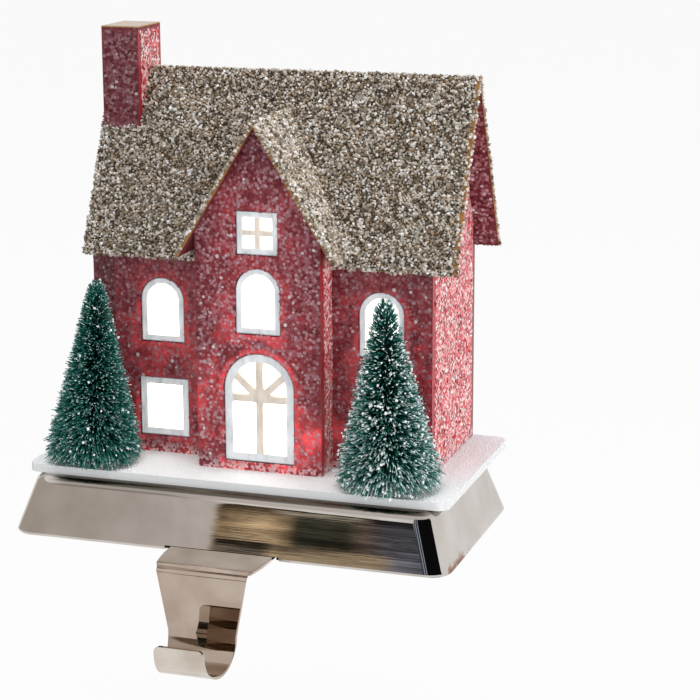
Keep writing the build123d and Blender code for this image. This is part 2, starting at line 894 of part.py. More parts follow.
eave_lip = roof_card * cos(roof_pitch)
eave_return = roof_card * sin(roof_pitch)


def build_bay_cheek(name, sign):
    inside = bay_half - wall_thickness
    with BuildPart() as cheek:
        with BuildSketch(front_plane(house_x, bay_front + wall_thickness, 0)):
            with BuildLine():
                Polyline(
                    (sign * bay_half, board_top),
                    (sign * inside, board_top),
                    (sign * inside, bay_under(inside)),
                    (sign * bay_half, bay_under(bay_half)),
                    close=True,
                )
            make_face()
        extrude(amount=wall_thickness - bay_projection)
        with BuildSketch(Plane.YZ.offset(house_x - bay_width)):
            with BuildLine():
                Polyline(
                    front_eave,
                    roof_ridge,
                    (ridge_y, eave_z - eave_lip),
                    (front_eave[0] + eave_return, eave_z - eave_lip),
                    close=True,
                )
            make_face()
        extrude(amount=2 * bay_width, mode=Mode.SUBTRACT)
    save(cheek, name)


build_bay_cheek("bay_left_cheek", -1)
build_bay_cheek("bay_right_cheek", 1)

stack_x = house_left - breast_width + stack_width / 2
stack_top = ridge_z + stack_rise


def clump_places(slope, width, length, is_clear):
    """Staggered rows of places for clumps of granules, up from a slope's eave, wherever it is clear."""
    columns = int((width - 2 * clump_margin) / clump_spacing)
    rows = int((length - 2 * clump_margin) / clump_spacing) + 1
    row_step = (length - 2 * clump_margin) / (rows - 1)
    places = []
    for row in range(rows):
        for column in range(columns + row % 2):
            turn = clump_turn * (row * columns + column)
            x = (column - (columns - 1 + row % 2) / 2) * clump_spacing + clump_shift * cos(radians(turn))
            y = clump_margin + row * row_step + clump_shift * sin(radians(turn))
            if is_clear(slope.from_local_coords((x, y, 0))):
                places.append(Location((x, y, 0), (0, 0, turn)))
    return Locations(*places)


def main_slope(sign):
    """The outer face of the front (-1) or back (1) slope, from the middle of its eave."""
    return Plane(
        origin=(roof_left + roof_length / 2, ridge_y + sign * roof_run, eave_z),
        x_dir=(-sign, 0, 0),
        z_dir=(0, sign * sin(roof_pitch), cos(roof_pitch)),
    )


def clear_of_stack_and_bay(point):
    """Whether a clump on the main roof stands clear of the chimney stack and the bay roof."""
    clear_of_stack = (
        abs(point.X - stack_x) > stack_width / 2 + clump_margin
        or abs(point.Y - ridge_y) > stack_depth / 2 + clump_margin
    )
    bay_reach = (bay_ridge_z - point.Z) / tan(bay_pitch)
    clear_of_bay = point.Y > ridge_y or abs(point.X - house_x) > bay_reach + 2 * clump_margin
    return clear_of_stack and clear_of_bay


def clear_of_valley(point):
    """Whether a clump on the bay roof stands clear of the main slope."""
    return point.Y < ridge_y - (ridge_z - point.Z) / tan(roof_pitch) - clump_margin


# Main roof: one card folded over the ridge, its eaves cut square to the slopes, with clumps of granules
with BuildPart() as main_roof:
    with BuildSketch(Plane.YZ.offset(roof_left)):
        with BuildLine():
            Polyline(
                front_eave,
                roof_ridge,
                back_eave,
                (back_eave[0] - eave_return, eave_z - eave_lip),
                (ridge_y, ridge_z - roof_card / cos(roof_pitch)),
                (front_eave[0] + eave_return, eave_z - eave_lip),
                close=True,
            )
        make_face()
    extrude(amount=roof_length)
    for slope in (main_slope(-1), main_slope(1)):
        with BuildSketch(slope):
            with clump_places(slope, roof_length, roof_run / cos(roof_pitch), clear_of_stack_and_bay):
                RegularPolygon(clump_radius, clump_sides)
        extrude(amount=clump_height, taper=clump_taper)
save(main_roof, "main_roof")

# Bay roof: a second folded card, cut to the valleys where it meets the main slope
bay_roof_front = bay_front - bay_rake_overhang
bay_roof_depth = ridge_y - bay_roof_front
bay_eave_z = board_top + bay_eave_height
bay_lip = roof_card * cos(bay_pitch)
bay_return = roof_card * sin(bay_pitch)


def bay_slope(sign):
    """The outer face of the bay roof's left (-1) or right (1) slope, from the middle of its eave."""
    return Plane(
        origin=(house_x + sign * bay_run, bay_roof_front + bay_roof_depth / 2, bay_eave_z),
        x_dir=(0, sign, 0),
        z_dir=(sign * sin(bay_pitch), 0, cos(bay_pitch)),
    )


with BuildPart() as bay_roof:
    with BuildSketch(front_plane(house_x, bay_roof_front, 0)):
        with BuildLine():
            Polyline(
                (0, bay_ridge_z),
                (bay_run, bay_eave_z),
                (bay_run - bay_return, bay_eave_z - bay_lip),
                (0, bay_ridge_z - roof_card / cos(bay_pitch)),
            )
            mirror(about=Plane.YZ)
        make_face()
    extrude(amount=-bay_roof_depth)
    with BuildSketch(Plane.YZ.offset(house_x - 2 * bay_run)):
        with BuildLine():
            Polyline(front_eave, roof_ridge, (ridge_y, eave_z), close=True)
        make_face()
    extrude(amount=4 * bay_run, mode=Mode.SUBTRACT)
    for slope in (bay_slope(-1), bay_slope(1)):
        with BuildSketch(slope):
            with clump_places(slope, bay_roof_depth, bay_run / cos(bay_pitch), clear_of_valley):
                RegularPolygon(clump_radius, clump_sides)
        extrude(amount=clump_height, taper=clump_taper)
save(bay_roof, "bay_roof")

# Chimney: a hollow breast outside the left wall, and a stack that straddles the ridge above it
with BuildPart() as chimney_breast:
    with BuildSketch(Plane.YZ.offset(house_left - breast_width)):
        with BuildLine():
            Polyline(*gable_outline(breast_depth / 2), close=True)
        make_face()
    extrude(amount=breast_width)
    open_sides = [chimney_breast.faces().sort_by(Axis.X)[-1], chimney_breast.faces().sort_by(Axis.Z)[0]]
    offset(amount=-wall_thickness, openings=open_sides)
save(chimney_breast, "chimney_breast")

with BuildPart() as chimney_stack:
    with BuildSketch(Plane.XY.offset(eave_z)):
        with Locations((stack_x, ridge_y)):
            Rectangle(stack_width, stack_depth)
            Rectangle(stack_width - 2 * stack_wall, stack_depth - 2 * stack_wall, mode=Mode.SUBTRACT)
    extrude(amount=stack_top - cap_thickness - eave_z)
    with BuildSketch(Plane.YZ.offset(stack_x - stack_width)):
        with BuildLine():
            Polyline(front_eave, roof_ridge, back_eave, close=True)
        make_face()
    extrude(amount=2 * stack_width, mode=Mode.SUBTRACT)
save(chimney_stack, "chimney_stack")

with BuildPart() as chimney_cap:
    with BuildSketch(Plane.XY.offset(stack_top - cap_thickness)):
        with Locations((stack_x, ridge_y)):
            Rectangle(stack_width, stack_depth)
    extrude(amount=cap_thickness)
save(chimney_cap, "chimney_cap")
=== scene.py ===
from math import cos, pi, radians, sin, sqrt, tan

import bpy
import numpy as np
from mathutils import Matrix, Vector


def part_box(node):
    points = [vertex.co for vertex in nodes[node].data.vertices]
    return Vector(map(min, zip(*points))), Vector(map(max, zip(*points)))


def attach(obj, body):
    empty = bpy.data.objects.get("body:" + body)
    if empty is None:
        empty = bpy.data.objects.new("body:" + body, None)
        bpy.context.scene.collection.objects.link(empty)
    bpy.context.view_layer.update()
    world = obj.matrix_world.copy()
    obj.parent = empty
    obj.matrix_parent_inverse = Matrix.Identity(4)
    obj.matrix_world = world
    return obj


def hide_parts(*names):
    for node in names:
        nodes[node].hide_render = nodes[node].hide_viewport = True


# Looks of the mantel stocking holder, in metres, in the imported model's frame: +X right, -Y front, +Z up.
# Lengths written in millimetres are turned into metres by MM. Materials work in millimetres.
MM = 0.001

# Camera, fitted to the photograph
camera_place = (0.24259, -0.64140, 0.22799)
camera_azimuth = radians(18.290)
camera_elevation = radians(13.900)
camera_roll = radians(-0.188)
camera_lens = 110.22
camera_sensor = 36.0
camera_near = 0.01

# Zones of the nickel's colour in the object's millimetres, from where each starts to where it is full
# The zones behind and before the hook's plate get paler tones: painted reflection
behind_plate = (-54.5, -52.0)
before_plate = (-60.0, -68.0)
rust_height = (4.5, 0.8)
rust_front = (-37.0, -33.0)
rust_back = (4.0, -26.0)
rust_side = (70.0, 72.0)
# The crease and edge zones hold painted shade under the snow board
crease_left = (-64.0, -56.0)
crease_right = (69.0, 64.0)
crease_front = (-20.0, -24.0)
edge_fade = (-30.0, 5.0)

# Turn of a face's normal to the front, from where its light starts to where it is full
front_turn = (-0.5, -0.9)

# Glitter flakes on the red walls
flake_spacing = 0.78 * MM
flake_radius = (0.45 * MM, 0.80 * MM)
flake_height = 0.07 * MM
flake_sides = 5
flake_tilt = 0.14
flake_lift = 0.4
flake_margin = 0.55 * MM
glitter_seed = 11

# Frost at the foot of the boards and of their flakes, from none to full, in millimetres above the snow
board_frost = (6.0, 0.5)
flake_frost = (4.5, 0.5)

# Light through the boards: each part's reach from a window, none to full, in millimetres, and strength
rim_reach = (2.6, 0.9)
rim_strength = 0.55
patch_reach = (15.0, 1.0)
patch_strength = 0.42
warmth_reach = (22.0, 0.0)
warmth_strength = 0.10

# Heights from which that light grows to its full strength, in millimetres, and its share above them
gable_fade = (92.0, 66.0)
gable_share = 0.30

# Where the lamp shines through the front boards: across, height, reach in millimetres, and strength
lamp_leaks = ((16.8, 33.0, 14.0, 0.66), (-15.0, 46.0, 13.0, 0.25), (13.0, 62.0, 10.0, 0.16))

# Share of that light that the front wall shows, and how much lighter the side boards are painted, as painted
# light
front_glow = 0.66
side_painted_lift = 2.8

# Granules on the roofs
granule_spacing = 0.66 * MM
granule_radius = (0.52 * MM, 1.0 * MM)
granule_lift = 0.35
clump_depth = 1.0 * MM
clump_turn = 0.6
edge_depth = 0.5 * MM
edge_seed_step = 5
bare_edge = 1.3 * MM
bare_chance = 0.80

# Thickness of the chimney stack's boards
stack_board = 2.0 * MM

# Snow grains on the board
grain_spacing = 0.95 * MM
grain_radius = (0.18 * MM, 0.36 * MM)
grain_lift = 0.0
grain_seed = 49

# Every grain and granule is an octahedron with uneven corners
octahedron = np.array([(1, 0, 0), (-1, 0, 0), (0, 1, 0), (0, -1, 0), (0, 0, 1), (0, 0, -1)], float)
octahedron_faces = [(0, 2, 4), (2, 1, 4), (1, 3, 4), (3, 0, 4), (2, 0, 5), (1, 2, 5), (3, 1, 5), (0, 3, 5)]
corner_shares = (0.55, 1.1)

# Choice of a node's faces: how near to a plane and a direction they are, and tries for each scattered point
face_depth = 0.2 * MM
face_turn = 0.95
flat_turn = 0.98
large_share = 0.3
slope_turn = 0.2
scatter_tries = 4

# Brush trees: tip heights as shares of the crown's height, with the reach and slope of the bristles there
bristle_count = 6500
bristle_radii = (0.13 * MM, 0.15 * MM, 0.17 * MM)
bristle_sides = 3
bristle_bend = (0.03, 0.05)
tree_shares = (0.0, 0.06, 0.15, 0.35, 0.68, 0.88, 0.96, 1.0)
tree_reach = (15.4 * MM, 15.5 * MM, 14.8 * MM, 11.8 * MM, 7.1 * MM, 4.5 * MM, 2.9 * MM, 1.5 * MM)
tree_slope = (-0.90, -0.40, -0.05, 0.12, 0.28, 0.60, 1.4, 3.5)
reach_spread = 0.065
slope_spread = 0.15
highest_chance = 0.995
crown_count = 220
crown_shares = (0.9, 1.0)
tree_lowest = 1.0 * MM
wire_lowest = 2.0 * MM
speck_radius = (0.30 * MM, 0.75 * MM)

# Each tree: side, width, frost cover, snow specks and seed
trees = (("left", 0.94, 0.25, 110, 51), ("right", 1.0, 0.37, 800, 52))

# Pressed base and strip hook: the CAD source's sizes, without its hidden holes. The base's foot is rolled
# and its wall is 0.05 mm thicker. The strip's edges are softened, and it flares a little below its fold.
base_half = (75.0 * MM, 39.5 * MM)
base_height = 19.0 * MM
base_taper = radians(18.0)
base_corner = 7.5 * MM
base_edge = 4.2 * MM
base_foot = 0.9 * MM
base_wall = 1.05 * MM
base_support = (1.0 * MM, 0.4 * MM)
base_smooth = radians(30)
corner_steps = 24
foot_steps = 6
edge_steps = 16
notch_half = 19.5 * MM
notch_height = 1.6 * MM
notch_lean = 0.02 * MM
hook_thickness = 1.2 * MM
hook_middle = 0.9 * MM
hook_root = -12.5 * MM
hook_shoulder = -39.5 * MM
hook_plate = -56.0 * MM
hook_fold = 2.0 * MM
hook_roll = 9.6 * MM
hook_roll_height = -19.75 * MM
hook_lip_rise = 2.0 * MM
hook_lip_corner = 1.9 * MM
hook_edge = 0.25 * MM
hook_widths = (17.5 * MM, 15.0 * MM, 11.5 * MM, 8.25 * MM)
hook_sweep = 69.7 * MM
hook_flare = 0.35 * MM
hook_smooth = radians(40)
tab_steps = 16
fold_steps = 12
plate_steps = 10
roll_steps = 48
lip_steps = 14
strip_steps = 4
tolerance = 1e-6

# Studio, where each soft box has a place, a size and a power
floor_height = -0.10
floor_size = 8.0
floor_white = 0.93
floor_grey = 0.78
world_light = 0.38
soft_boxes = {"right_box": ((1.2, -0.16, 0.27), 0.7, 7.2), "top_box": ((0.0, -0.12, 1.35), 0.8, 11.0)}
lit_point = Vector((0, 0, 0.06))

# What the polished base mirrors: a card in front of it, and the base's own millimetres on that card
card_place = -1.2
card_middle = -0.458
card_foot = 0.317
card_gap = 0.02
card_scale = (2.92, 3.1)
card_reach = (1.42, 1.192)
card_turns = ((-115.0, -35.4), (13.3, 75.0))
card_steps = 12
card_heads = (1.25, 1.15)
card_front = ((-0.70, 1.20), (-0.458, 0.50), (-0.38, 0.40), (-0.229, 0.365), (-0.20, 1.15))
card_tones = (
    (-75.0, (0.56, 0.52, 0.48)),
    (-37.0, (0.60, 0.555, 0.515)),
    (-8.0, (0.72, 0.68, 0.66)),
    (-3.4, (0.70, 0.65, 0.61)),
    (-1.8, (0.42, 0.30, 0.175)),
    (14.0, (0.78, 0.58, 0.36)),
    (20.0, (0.46, 0.345, 0.205)),
    (25.0, (0.062, 0.062, 0.042)),
    (41.0, (0.060, 0.060, 0.042)),
    (48.0, (0.25, 0.19, 0.155)),
    (54.0, (0.24, 0.24, 0.275)),
    (62.0, (0.21, 0.225, 0.28)),
    (72.0, (0.065, 0.078, 0.115)),
    (118.0, (0.05, 0.06, 0.085)),
    (126.0, (0.55, 0.62, 0.74)),
    (150.0, (0.22, 0.26, 0.34)),
    (160.0, (0.02, 0.022, 0.03)),
    (188.0, (0.03, 0.035, 0.045)),
    (196.0, (0.48, 0.55, 0.66)),
    (215.0, (0.25, 0.30, 0.38)),
    (224.0, (0.006, 0.006, 0.007)),
)

# The card's streaked part and the patches in it, each where all of its steps are full
card_ragged = 9.0
card_streaked = (("ragged", -3.2, -1.6), ("across", 80.0, 74.0))
card_low_gold = (("height", 6.6, 5.2), ("ragged", 19.0, 14.0))
card_low_dark = (*card_low_gold, ("height", 2.8, 3.8))
card_low_olive = (("height", 5.6, 4.4), ("ragged", 17.0, 24.0), ("across", 60.0, 52.0))
card_line = (("height", 14.7, 15.0), ("height", 15.9, 15.6), ("across", 10.0, 22.0), ("across", 52.0, 42.0))
card_patches = (
    (card_low_gold, (0.21, 0.175, 0.14)),
    (card_low_dark, (0.055, 0.044, 0.030)),
    (card_low_olive, (0.44, 0.35, 0.235)),
    (card_line, (0.60, 0.55, 0.44)),
)
card_upper = (("height", 13.2, 14.6),)
card_blue = (("height", 4.0, 14.0), ("across", 44.0, 52.0))

RIGHT, LEFT, FRONT, BACK, UP = (1, 0, 0), (-1, 0, 0), (0, -1, 0), (0, 1, 0), (0, 0, 1)

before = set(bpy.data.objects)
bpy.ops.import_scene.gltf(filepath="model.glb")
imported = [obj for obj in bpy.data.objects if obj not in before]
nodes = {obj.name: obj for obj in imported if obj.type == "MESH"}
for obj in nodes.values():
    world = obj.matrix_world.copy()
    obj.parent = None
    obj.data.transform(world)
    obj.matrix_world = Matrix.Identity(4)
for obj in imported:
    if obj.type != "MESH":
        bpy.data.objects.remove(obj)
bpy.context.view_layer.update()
board_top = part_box("snow_board")[1].z


class Paint:
    """The nodes of a material or a world, with short ways to add those that colour it."""

    def __init__(self, name, kept_in=bpy.data.materials):
        self.data = kept_in.new(name)
        self.data.use_nodes = True
        self.nodes = self.data.node_tree.nodes
        self.links = self.data.node_tree.links
        self.shader = self.nodes.get("Principled BSDF")

    def feed(self, socket, value):
        """Link a socket to another, or set it to a number or a colour."""
        if isinstance(value, bpy.types.NodeSocket):
            self.links.new(value, socket)
        elif socket.type == "RGBA":
            socket.default_value = (*value, 1.0)
        else:
            socket.default_value = value

    def shade(self, colour, rough, bump=None, glow=None, more=()):
        """The finished material. A bump is a height and its depth, a glow a colour and its strength."""
        inputs = {"Base Color": colour, "Roughness": rough, **dict(more)}
        if bump:
            inputs["Normal"] = self.bump(*bump)
        if glow:
            inputs["Emission Color"], inputs["Emission Strength"] = glow
        for name, value in inputs.items():
            self.feed(self.shader.inputs[name], value)
        return self.data

    def place(self, stretch=(1, 1, 1)):
        """The point on the object in millimetres, its texture drawn out along the axes."""
        point = self.nodes.new("ShaderNodeTexCoord").outputs["Object"]
        scale = self.nodes.new("ShaderNodeVectorMath")
        scale.operation = "MULTIPLY"
        self.links.new(point, scale.inputs[0])
        scale.inputs[1].default_value = [1 / (MM * length) for length in stretch]
        return scale.outputs[0]

    def split(self, vector):
        """The three numbers of a vector."""
        parts = self.nodes.new("ShaderNodeSeparateXYZ")
        self.links.new(vector, parts.inputs[0])
        return parts.outputs[0], parts.outputs[1], parts.outputs[2]

    def point(self):
        """The three numbers of the point on the object, in millimetres."""
        return self.split(self.place())

    def normal(self):
        """The three numbers of the surface's own direction."""
        return self.split(self.nodes.new("ShaderNodeNewGeometry").outputs["Normal"])

    def attribute(self, name):
        """A number kept on the mesh's points."""
        node = self.nodes.new("ShaderNodeAttribute")
        node.attribute_name = name
        return node.outputs["Fac"]

    def math(self, operation, a, b=0.0, c=0.0):
        """The result of a math node."""
        node = self.nodes.new("ShaderNodeMath")
        node.operation = operation
        for socket, value in zip(node.inputs, (a, b, c)):
            self.feed(socket, value)
        return node.outputs[0]

    def chain(self, operation, values):
        """Several numbers joined into one by the same operation."""
        result = values[0]
        for value in values[1:]:
            result = self.math(operation, result, value)
        return result

    def times(self, *values):
        """The product of several numbers."""
        return self.chain("MULTIPLY", values)

    def plus(self, *values):
        """The sum of several numbers."""
        return self.chain("ADD", values)

    def minus(self, a, b):
        """One number less another."""
        return self.math("SUBTRACT", a, b)

    def most(self, *values):
        """The largest of several numbers."""
        return self.chain("MAXIMUM", values)

    def size(self, value):
        """A number without its sign."""
        return self.math("ABSOLUTE", value)

    def noise(self, size, stretch=(1, 1, 1), detail=2.0):
        """Cloudy noise of about that size in millimetres."""
        node = self.nodes.new("ShaderNodeTexNoise")
        self.links.new(self.place(stretch), node.inputs["Vector"])
        node.inputs["Scale"].default_value = 1 / size
        node.inputs["Detail"].default_value = detail
        return node.outputs[0]

    def cells(self, size):
        """A random number for each cell of about that size in millimetres."""
        node = self.nodes.new("ShaderNodeTexVoronoi")
        self.links.new(self.place(), node.inputs["Vector"])
        node.inputs["Scale"].default_value = 1 / size
        return self.split(node.outputs["Color"])[0]

    def step(self, value, low, high):
        """A smooth step from 0 at low to 1 at high, where low may be the larger."""
        node = self.nodes.new("ShaderNodeMapRange")
        node.interpolation_type = "SMOOTHSTEP"
        falling = low > high
        self.feed(node.inputs["Value"], value)
        node.inputs["From Min"].default_value = min(low, high)
        node.inputs["From Max"].default_value = max(low, high)
        node.inputs["To Min"].default_value = float(falling)
        node.inputs["To Max"].default_value = float(not falling)
        return node.outputs[0]

    def span(self, value, low, high):
        """A number that runs from low to high as the value runs from 0 to 1."""
        return self.math("MULTIPLY_ADD", value, high - low, low)

    def ramp(self, value, *stops):
        """A colour that runs through (position, colour) stops."""
        node = self.nodes.new("ShaderNodeValToRGB")
        self.feed(node.inputs[0], value)
        band = node.color_ramp.elements
        while len(band) < len(stops):
            band.new(1.0)
        for element, (position, colour) in zip(band, stops):
            element.position = position
            element.color = (*colour, 1.0)
        return node.outputs[0]

    def mix(self, factor, a, b):
        """Colour a where the factor is 0 and colour b where it is 1."""
        node = self.nodes.new("ShaderNodeMix")
        node.data_type = "RGBA"
        self.feed(node.inputs[0], factor)
        self.feed(node.inputs[6], a)
        self.feed(node.inputs[7], b)
        return node.outputs[2]

    def bump(self, height, depth):
        """A bumped surface whose full height is that many millimetres."""
        node = self.nodes.new("ShaderNodeBump")
        node.inputs["Distance"].default_value = depth * MM
        self.feed(node.inputs["Height"], height)
        return node.outputs[0]


class Window:
    """The outline of a window or door, in millimetres, taken from its frame's node."""

    def __init__(self, name, bar, arched=False):
        low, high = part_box(f"{name}_frame")
        self.name = name
        self.bar = bar
        self.arched = arched
        self.middle = (low.x + high.x) / 2 / MM
        self.half_width = (high.x - low.x) / 2 / MM
        self.sill = low.z / MM
        self.head = high.z / MM

    def distance(self, paint):
        """How far a point is outside the outline, in millimetres, negative inside it."""
        x, _, z = paint.point()
        aside = paint.size(paint.minus(x, self.middle))
        below = paint.minus(self.sill, z)
        if self.arched:
            rise = paint.most(paint.minus(z, self.head - self.half_width), 0.0)
            aside = paint.math("SQRT", paint.plus(paint.times(aside, aside), paint.times(rise, rise)))
            above = below
        else:
            above = paint.minus(z, self.head)
        return paint.most(paint.minus(aside, self.half_width), below, above)


front_windows = [
    Window("left_upper_window", 1.95, arched=True),
    Window("left_lower_window", 2.3),
    Window("right_upper_window", 1.95, arched=True),
    Window("right_lower_window", 2.3),
]
bay_windows = [
    Window("door", 2.7, arched=True),
    Window("bay_window", 1.95, arched=True),
    Window("gable_window", 1.95),
]


# Materials of the metal, plastic and rubber pieces

def nickel(name, dark, light, rust_and_painted_shade=False, painted_reflection_tones=None):
    """Polished nickel plate, cloudy and faintly streaked.

    With rust and painted shade, it has a few real brown rust spots at one low corner, and painted shade:
    a dark line in the crease at its top and a darker band on its rounded top edge. Paler colours, a
    painted reflection, go on what lies behind or before the hook's plate.
    """
    paint = Paint(name)
    cloud = paint.step(paint.noise(14.0, detail=4.0), 0.3, 0.7)
    streak = paint.noise(0.5, stretch=(80, 1, 1), detail=3.0)
    colour = paint.mix(cloud, dark, light)
    rough = paint.span(streak, 0.006, 0.020)
    metal = 1.0
    x, y, z = paint.point()
    # Painted reflection: the plate stays darker, what lies behind or before it paler
    if painted_reflection_tones:
        beyond = paint.most(paint.step(y, *behind_plate), paint.step(y, *before_plate))
        colour = paint.mix(beyond, colour, paint.mix(cloud, *painted_reflection_tones))
    if rust_and_painted_shade:
        low = paint.step(z, *rust_height)
        along = paint.times(paint.step(y, *rust_front), paint.step(y, *rust_back))
        corner = paint.times(paint.step(x, *rust_side), along)
        heavy = paint.plus(paint.noise(2.6, detail=5.0), paint.times(low, corner, 0.30))
        rust = paint.times(paint.step(heavy, 0.64, 0.76), low, corner)
        colour = paint.mix(rust, colour, (0.22, 0.085, 0.035))
        # Painted shade: the front of the top's rounded edge darkened, less to the right, and a dark crease
        # line
        ends = paint.times(paint.step(x, *crease_left), paint.step(x, *crease_right))
        front = paint.times(paint.step(y, *crease_front), ends)
        upward = paint.normal()[2]
        edge = paint.mix(paint.step(x, *edge_fade), (0.325, 0.292, 0.262), (0.42, 0.375, 0.34))
        colour = paint.mix(paint.times(front, paint.step(upward, 0.40, 0.50)), colour, edge)
        crease = paint.times(front, paint.step(upward, 0.68, 0.75))
        colour = paint.mix(crease, colour, (0.115, 0.097, 0.075))
        rough = paint.plus(rough, paint.times(crease, 0.22), paint.times(rust, 0.5))
        metal = paint.span(rust, 1.0, 0.2)
    return paint.shade(colour, rough, (streak, 0.0010), more={"Metallic": metal})


def plain_metal(name, dark, light, rough):
    """Unpolished metal, mottled between two tones."""
    paint = Paint(name)
    mottle = paint.noise(2.5, detail=4.0)
    uneven = paint.span(mottle, rough - 0.1, rough + 0.1)
    return paint.shade(paint.mix(mottle, dark, light), uneven, (mottle, 0.02), more={"Metallic": 1.0})


def moulded(name, dark, light, rough):
    """Moulded plastic or rubber with a fine grain."""
    paint = Paint(name)
    grain = paint.noise(0.6, detail=3.0)
    uneven = paint.span(grain, rough - 0.08, rough + 0.08)
    return paint.shade(paint.mix(grain, dark, light), uneven, (grain, 0.03))


# Materials of the cottage

def red_glitter(paint, lift=1.0):
    """The colour of lacquered board under fine red glitter, lighter by a factor as painted light, and the
    speckle in it.
    """

    def lit(*colour):
        """A colour made lighter by the factor."""
        return tuple(lift * part for part in colour)

    speck = paint.cells(0.8)
    lacquer = paint.mix(paint.noise(6.0, detail=3.0), lit(0.12, 0.008, 0.015), lit(0.24, 0.014, 0.024))
    glitter = paint.ramp(
        speck,
        (0.0, lit(0.11, 0.008, 0.014)),
        (0.55, lit(0.21, 0.022, 0.034)),
        (0.85, lit(0.30, 0.075, 0.094)),
        (1.0, lit(0.40, 0.18, 0.20)),
    )
    return paint.mix(0.6, lacquer, glitter), speck


def above_snow(paint, heights):
    """A step between two heights above the snow board, in millimetres."""
    start, full = (board_top / MM + height for height in heights)
    return paint.step(paint.point()[2], start, full)


def red_board(name, windows=(), glow=1.0, lift=1.0, cut_axis=None, cut_band=None):
    """Glittered board: plain on its cut edges, frosted at its foot and glowing round its windows.

    Cut edges face along one axis. Where only a band of such a face is a cut edge, it lies outside two
    limits from front to back, in millimetres.
    """
    paint = Paint(name)
    colour, speck = red_glitter(paint, lift)
    frost = paint.times(above_snow(paint, board_frost), paint.step(paint.cells(1.0), 0.50, 0.70))
    colour = paint.mix(frost, colour, (0.80, 0.66, 0.68))
    if cut_axis is not None:
        cut = paint.step(paint.size(paint.normal()[cut_axis]), 0.6, 0.8)
        if cut_band:
            y = paint.point()[1]
            before = paint.step(y, cut_band[0] + 0.1, cut_band[0])
            beyond = paint.step(y, cut_band[1] - 0.1, cut_band[1])
            cut = paint.times(cut, paint.most(before, beyond))
        fibre = paint.noise(1.2, stretch=(1, 1, 5), detail=3.0)
        colour = paint.mix(cut, colour, paint.mix(fibre, (0.33, 0.012, 0.022), (0.52, 0.026, 0.036)))
    shine = None
    if windows:
        shine = ((1.0, 0.045, 0.050), paint.times(window_glow(paint, windows), glow))
    coat = {"Coat Weight": 0.15, "Coat Roughness": 0.25}
    return paint.shade(colour, paint.span(speck, 0.35, 0.6), (speck, 0.10), shine, coat)


def window_glow(paint, windows):
    """Light through the board: bright rims at the frames, patches round them and a faint warmth beyond."""
    nearest = paint.chain("MINIMUM", [window.distance(paint) for window in windows])
    x, _, z = paint.point()
    low = paint.span(paint.step(z, *gable_fade), gable_share, 1.0)
    broken = paint.step(paint.noise(9.0), 0.38, 0.55)
    cloud = paint.step(paint.noise(6.0, detail=3.0), 0.42, 0.68)
    rim = paint.times(paint.step(nearest, *rim_reach), broken, rim_strength)
    patches = paint.times(paint.step(nearest, *patch_reach), cloud, patch_strength)
    warmth = paint.times(paint.step(nearest, *warmth_reach), warmth_strength)
    glow = paint.plus(paint.times(paint.most(rim, patches), low), warmth)
    for place_x, place_z, reach, strength in lamp_leaks:
        aside = paint.minus(x, place_x)
        above = paint.minus(z, place_z)
        square = paint.plus(paint.times(aside, aside), paint.times(above, above))
        leak = paint.times(paint.step(square, reach**2, 0.0), paint.span(cloud, 0.55, 1.15), strength)
        glow = paint.plus(glow, leak)
    return paint.times(glow, paint.step(paint.normal()[1], *front_turn))


# One glitter's tints in lit and shaded copies, painted light and shade: dull, warm and bright ones
shaded_tints = [
    (0.0, (0.11, 0.011, 0.019)),
    (0.22, (0.19, 0.028, 0.042)),
    (0.55, (0.28, 0.092, 0.112)),
    (0.85, (0.36, 0.180, 0.208)),
    (0.975, (0.46, 0.29, 0.32)),
    (1.0, (0.88, 0.82, 0.84)),
]
warm_tints = [
    (0.0, (0.10, 0.008, 0.015)),
    (0.25, (0.21, 0.026, 0.040)),
    (0.55, (0.38, 0.135, 0.165)),
    (0.85, (0.50, 0.270, 0.310)),
    (0.975, (0.60, 0.41, 0.45)),
    (1.0, (0.92, 0.86, 0.88)),
]
lit_side_tints = [
    (0.0, (0.80, 0.105, 0.125)),
    (0.28, (0.93, 0.265, 0.272)),
    (0.62, (0.97, 0.535, 0.530)),
    (0.90, (0.97, 0.74, 0.73)),
    (1.0, (0.98, 0.96, 0.96)),
]


def flake_film(name, tints, windows=(), glow=1.0):
    """Clear pinkish glitter film, each flake with its own tint, lit a little by light through the board."""
    paint = Paint(name)
    tint = paint.attribute("tint")
    frost = paint.times(above_snow(paint, flake_frost), paint.step(tint, 0.30, 0.45), 0.75)
    colour = paint.mix(frost, paint.ramp(tint, *tints), (0.84, 0.74, 0.77))
    shine = None
    if windows:
        strength = paint.times(window_glow(paint, windows), glow, paint.span(tint, 0.75, 0.15))
        shine = ((1.0, 0.12, 0.13), strength)
    film = {"Metallic": 0.1, "Specular IOR Level": 0.4}
    return paint.shade(colour, paint.span(tint, 0.6, 0.35), glow=shine, more=film)


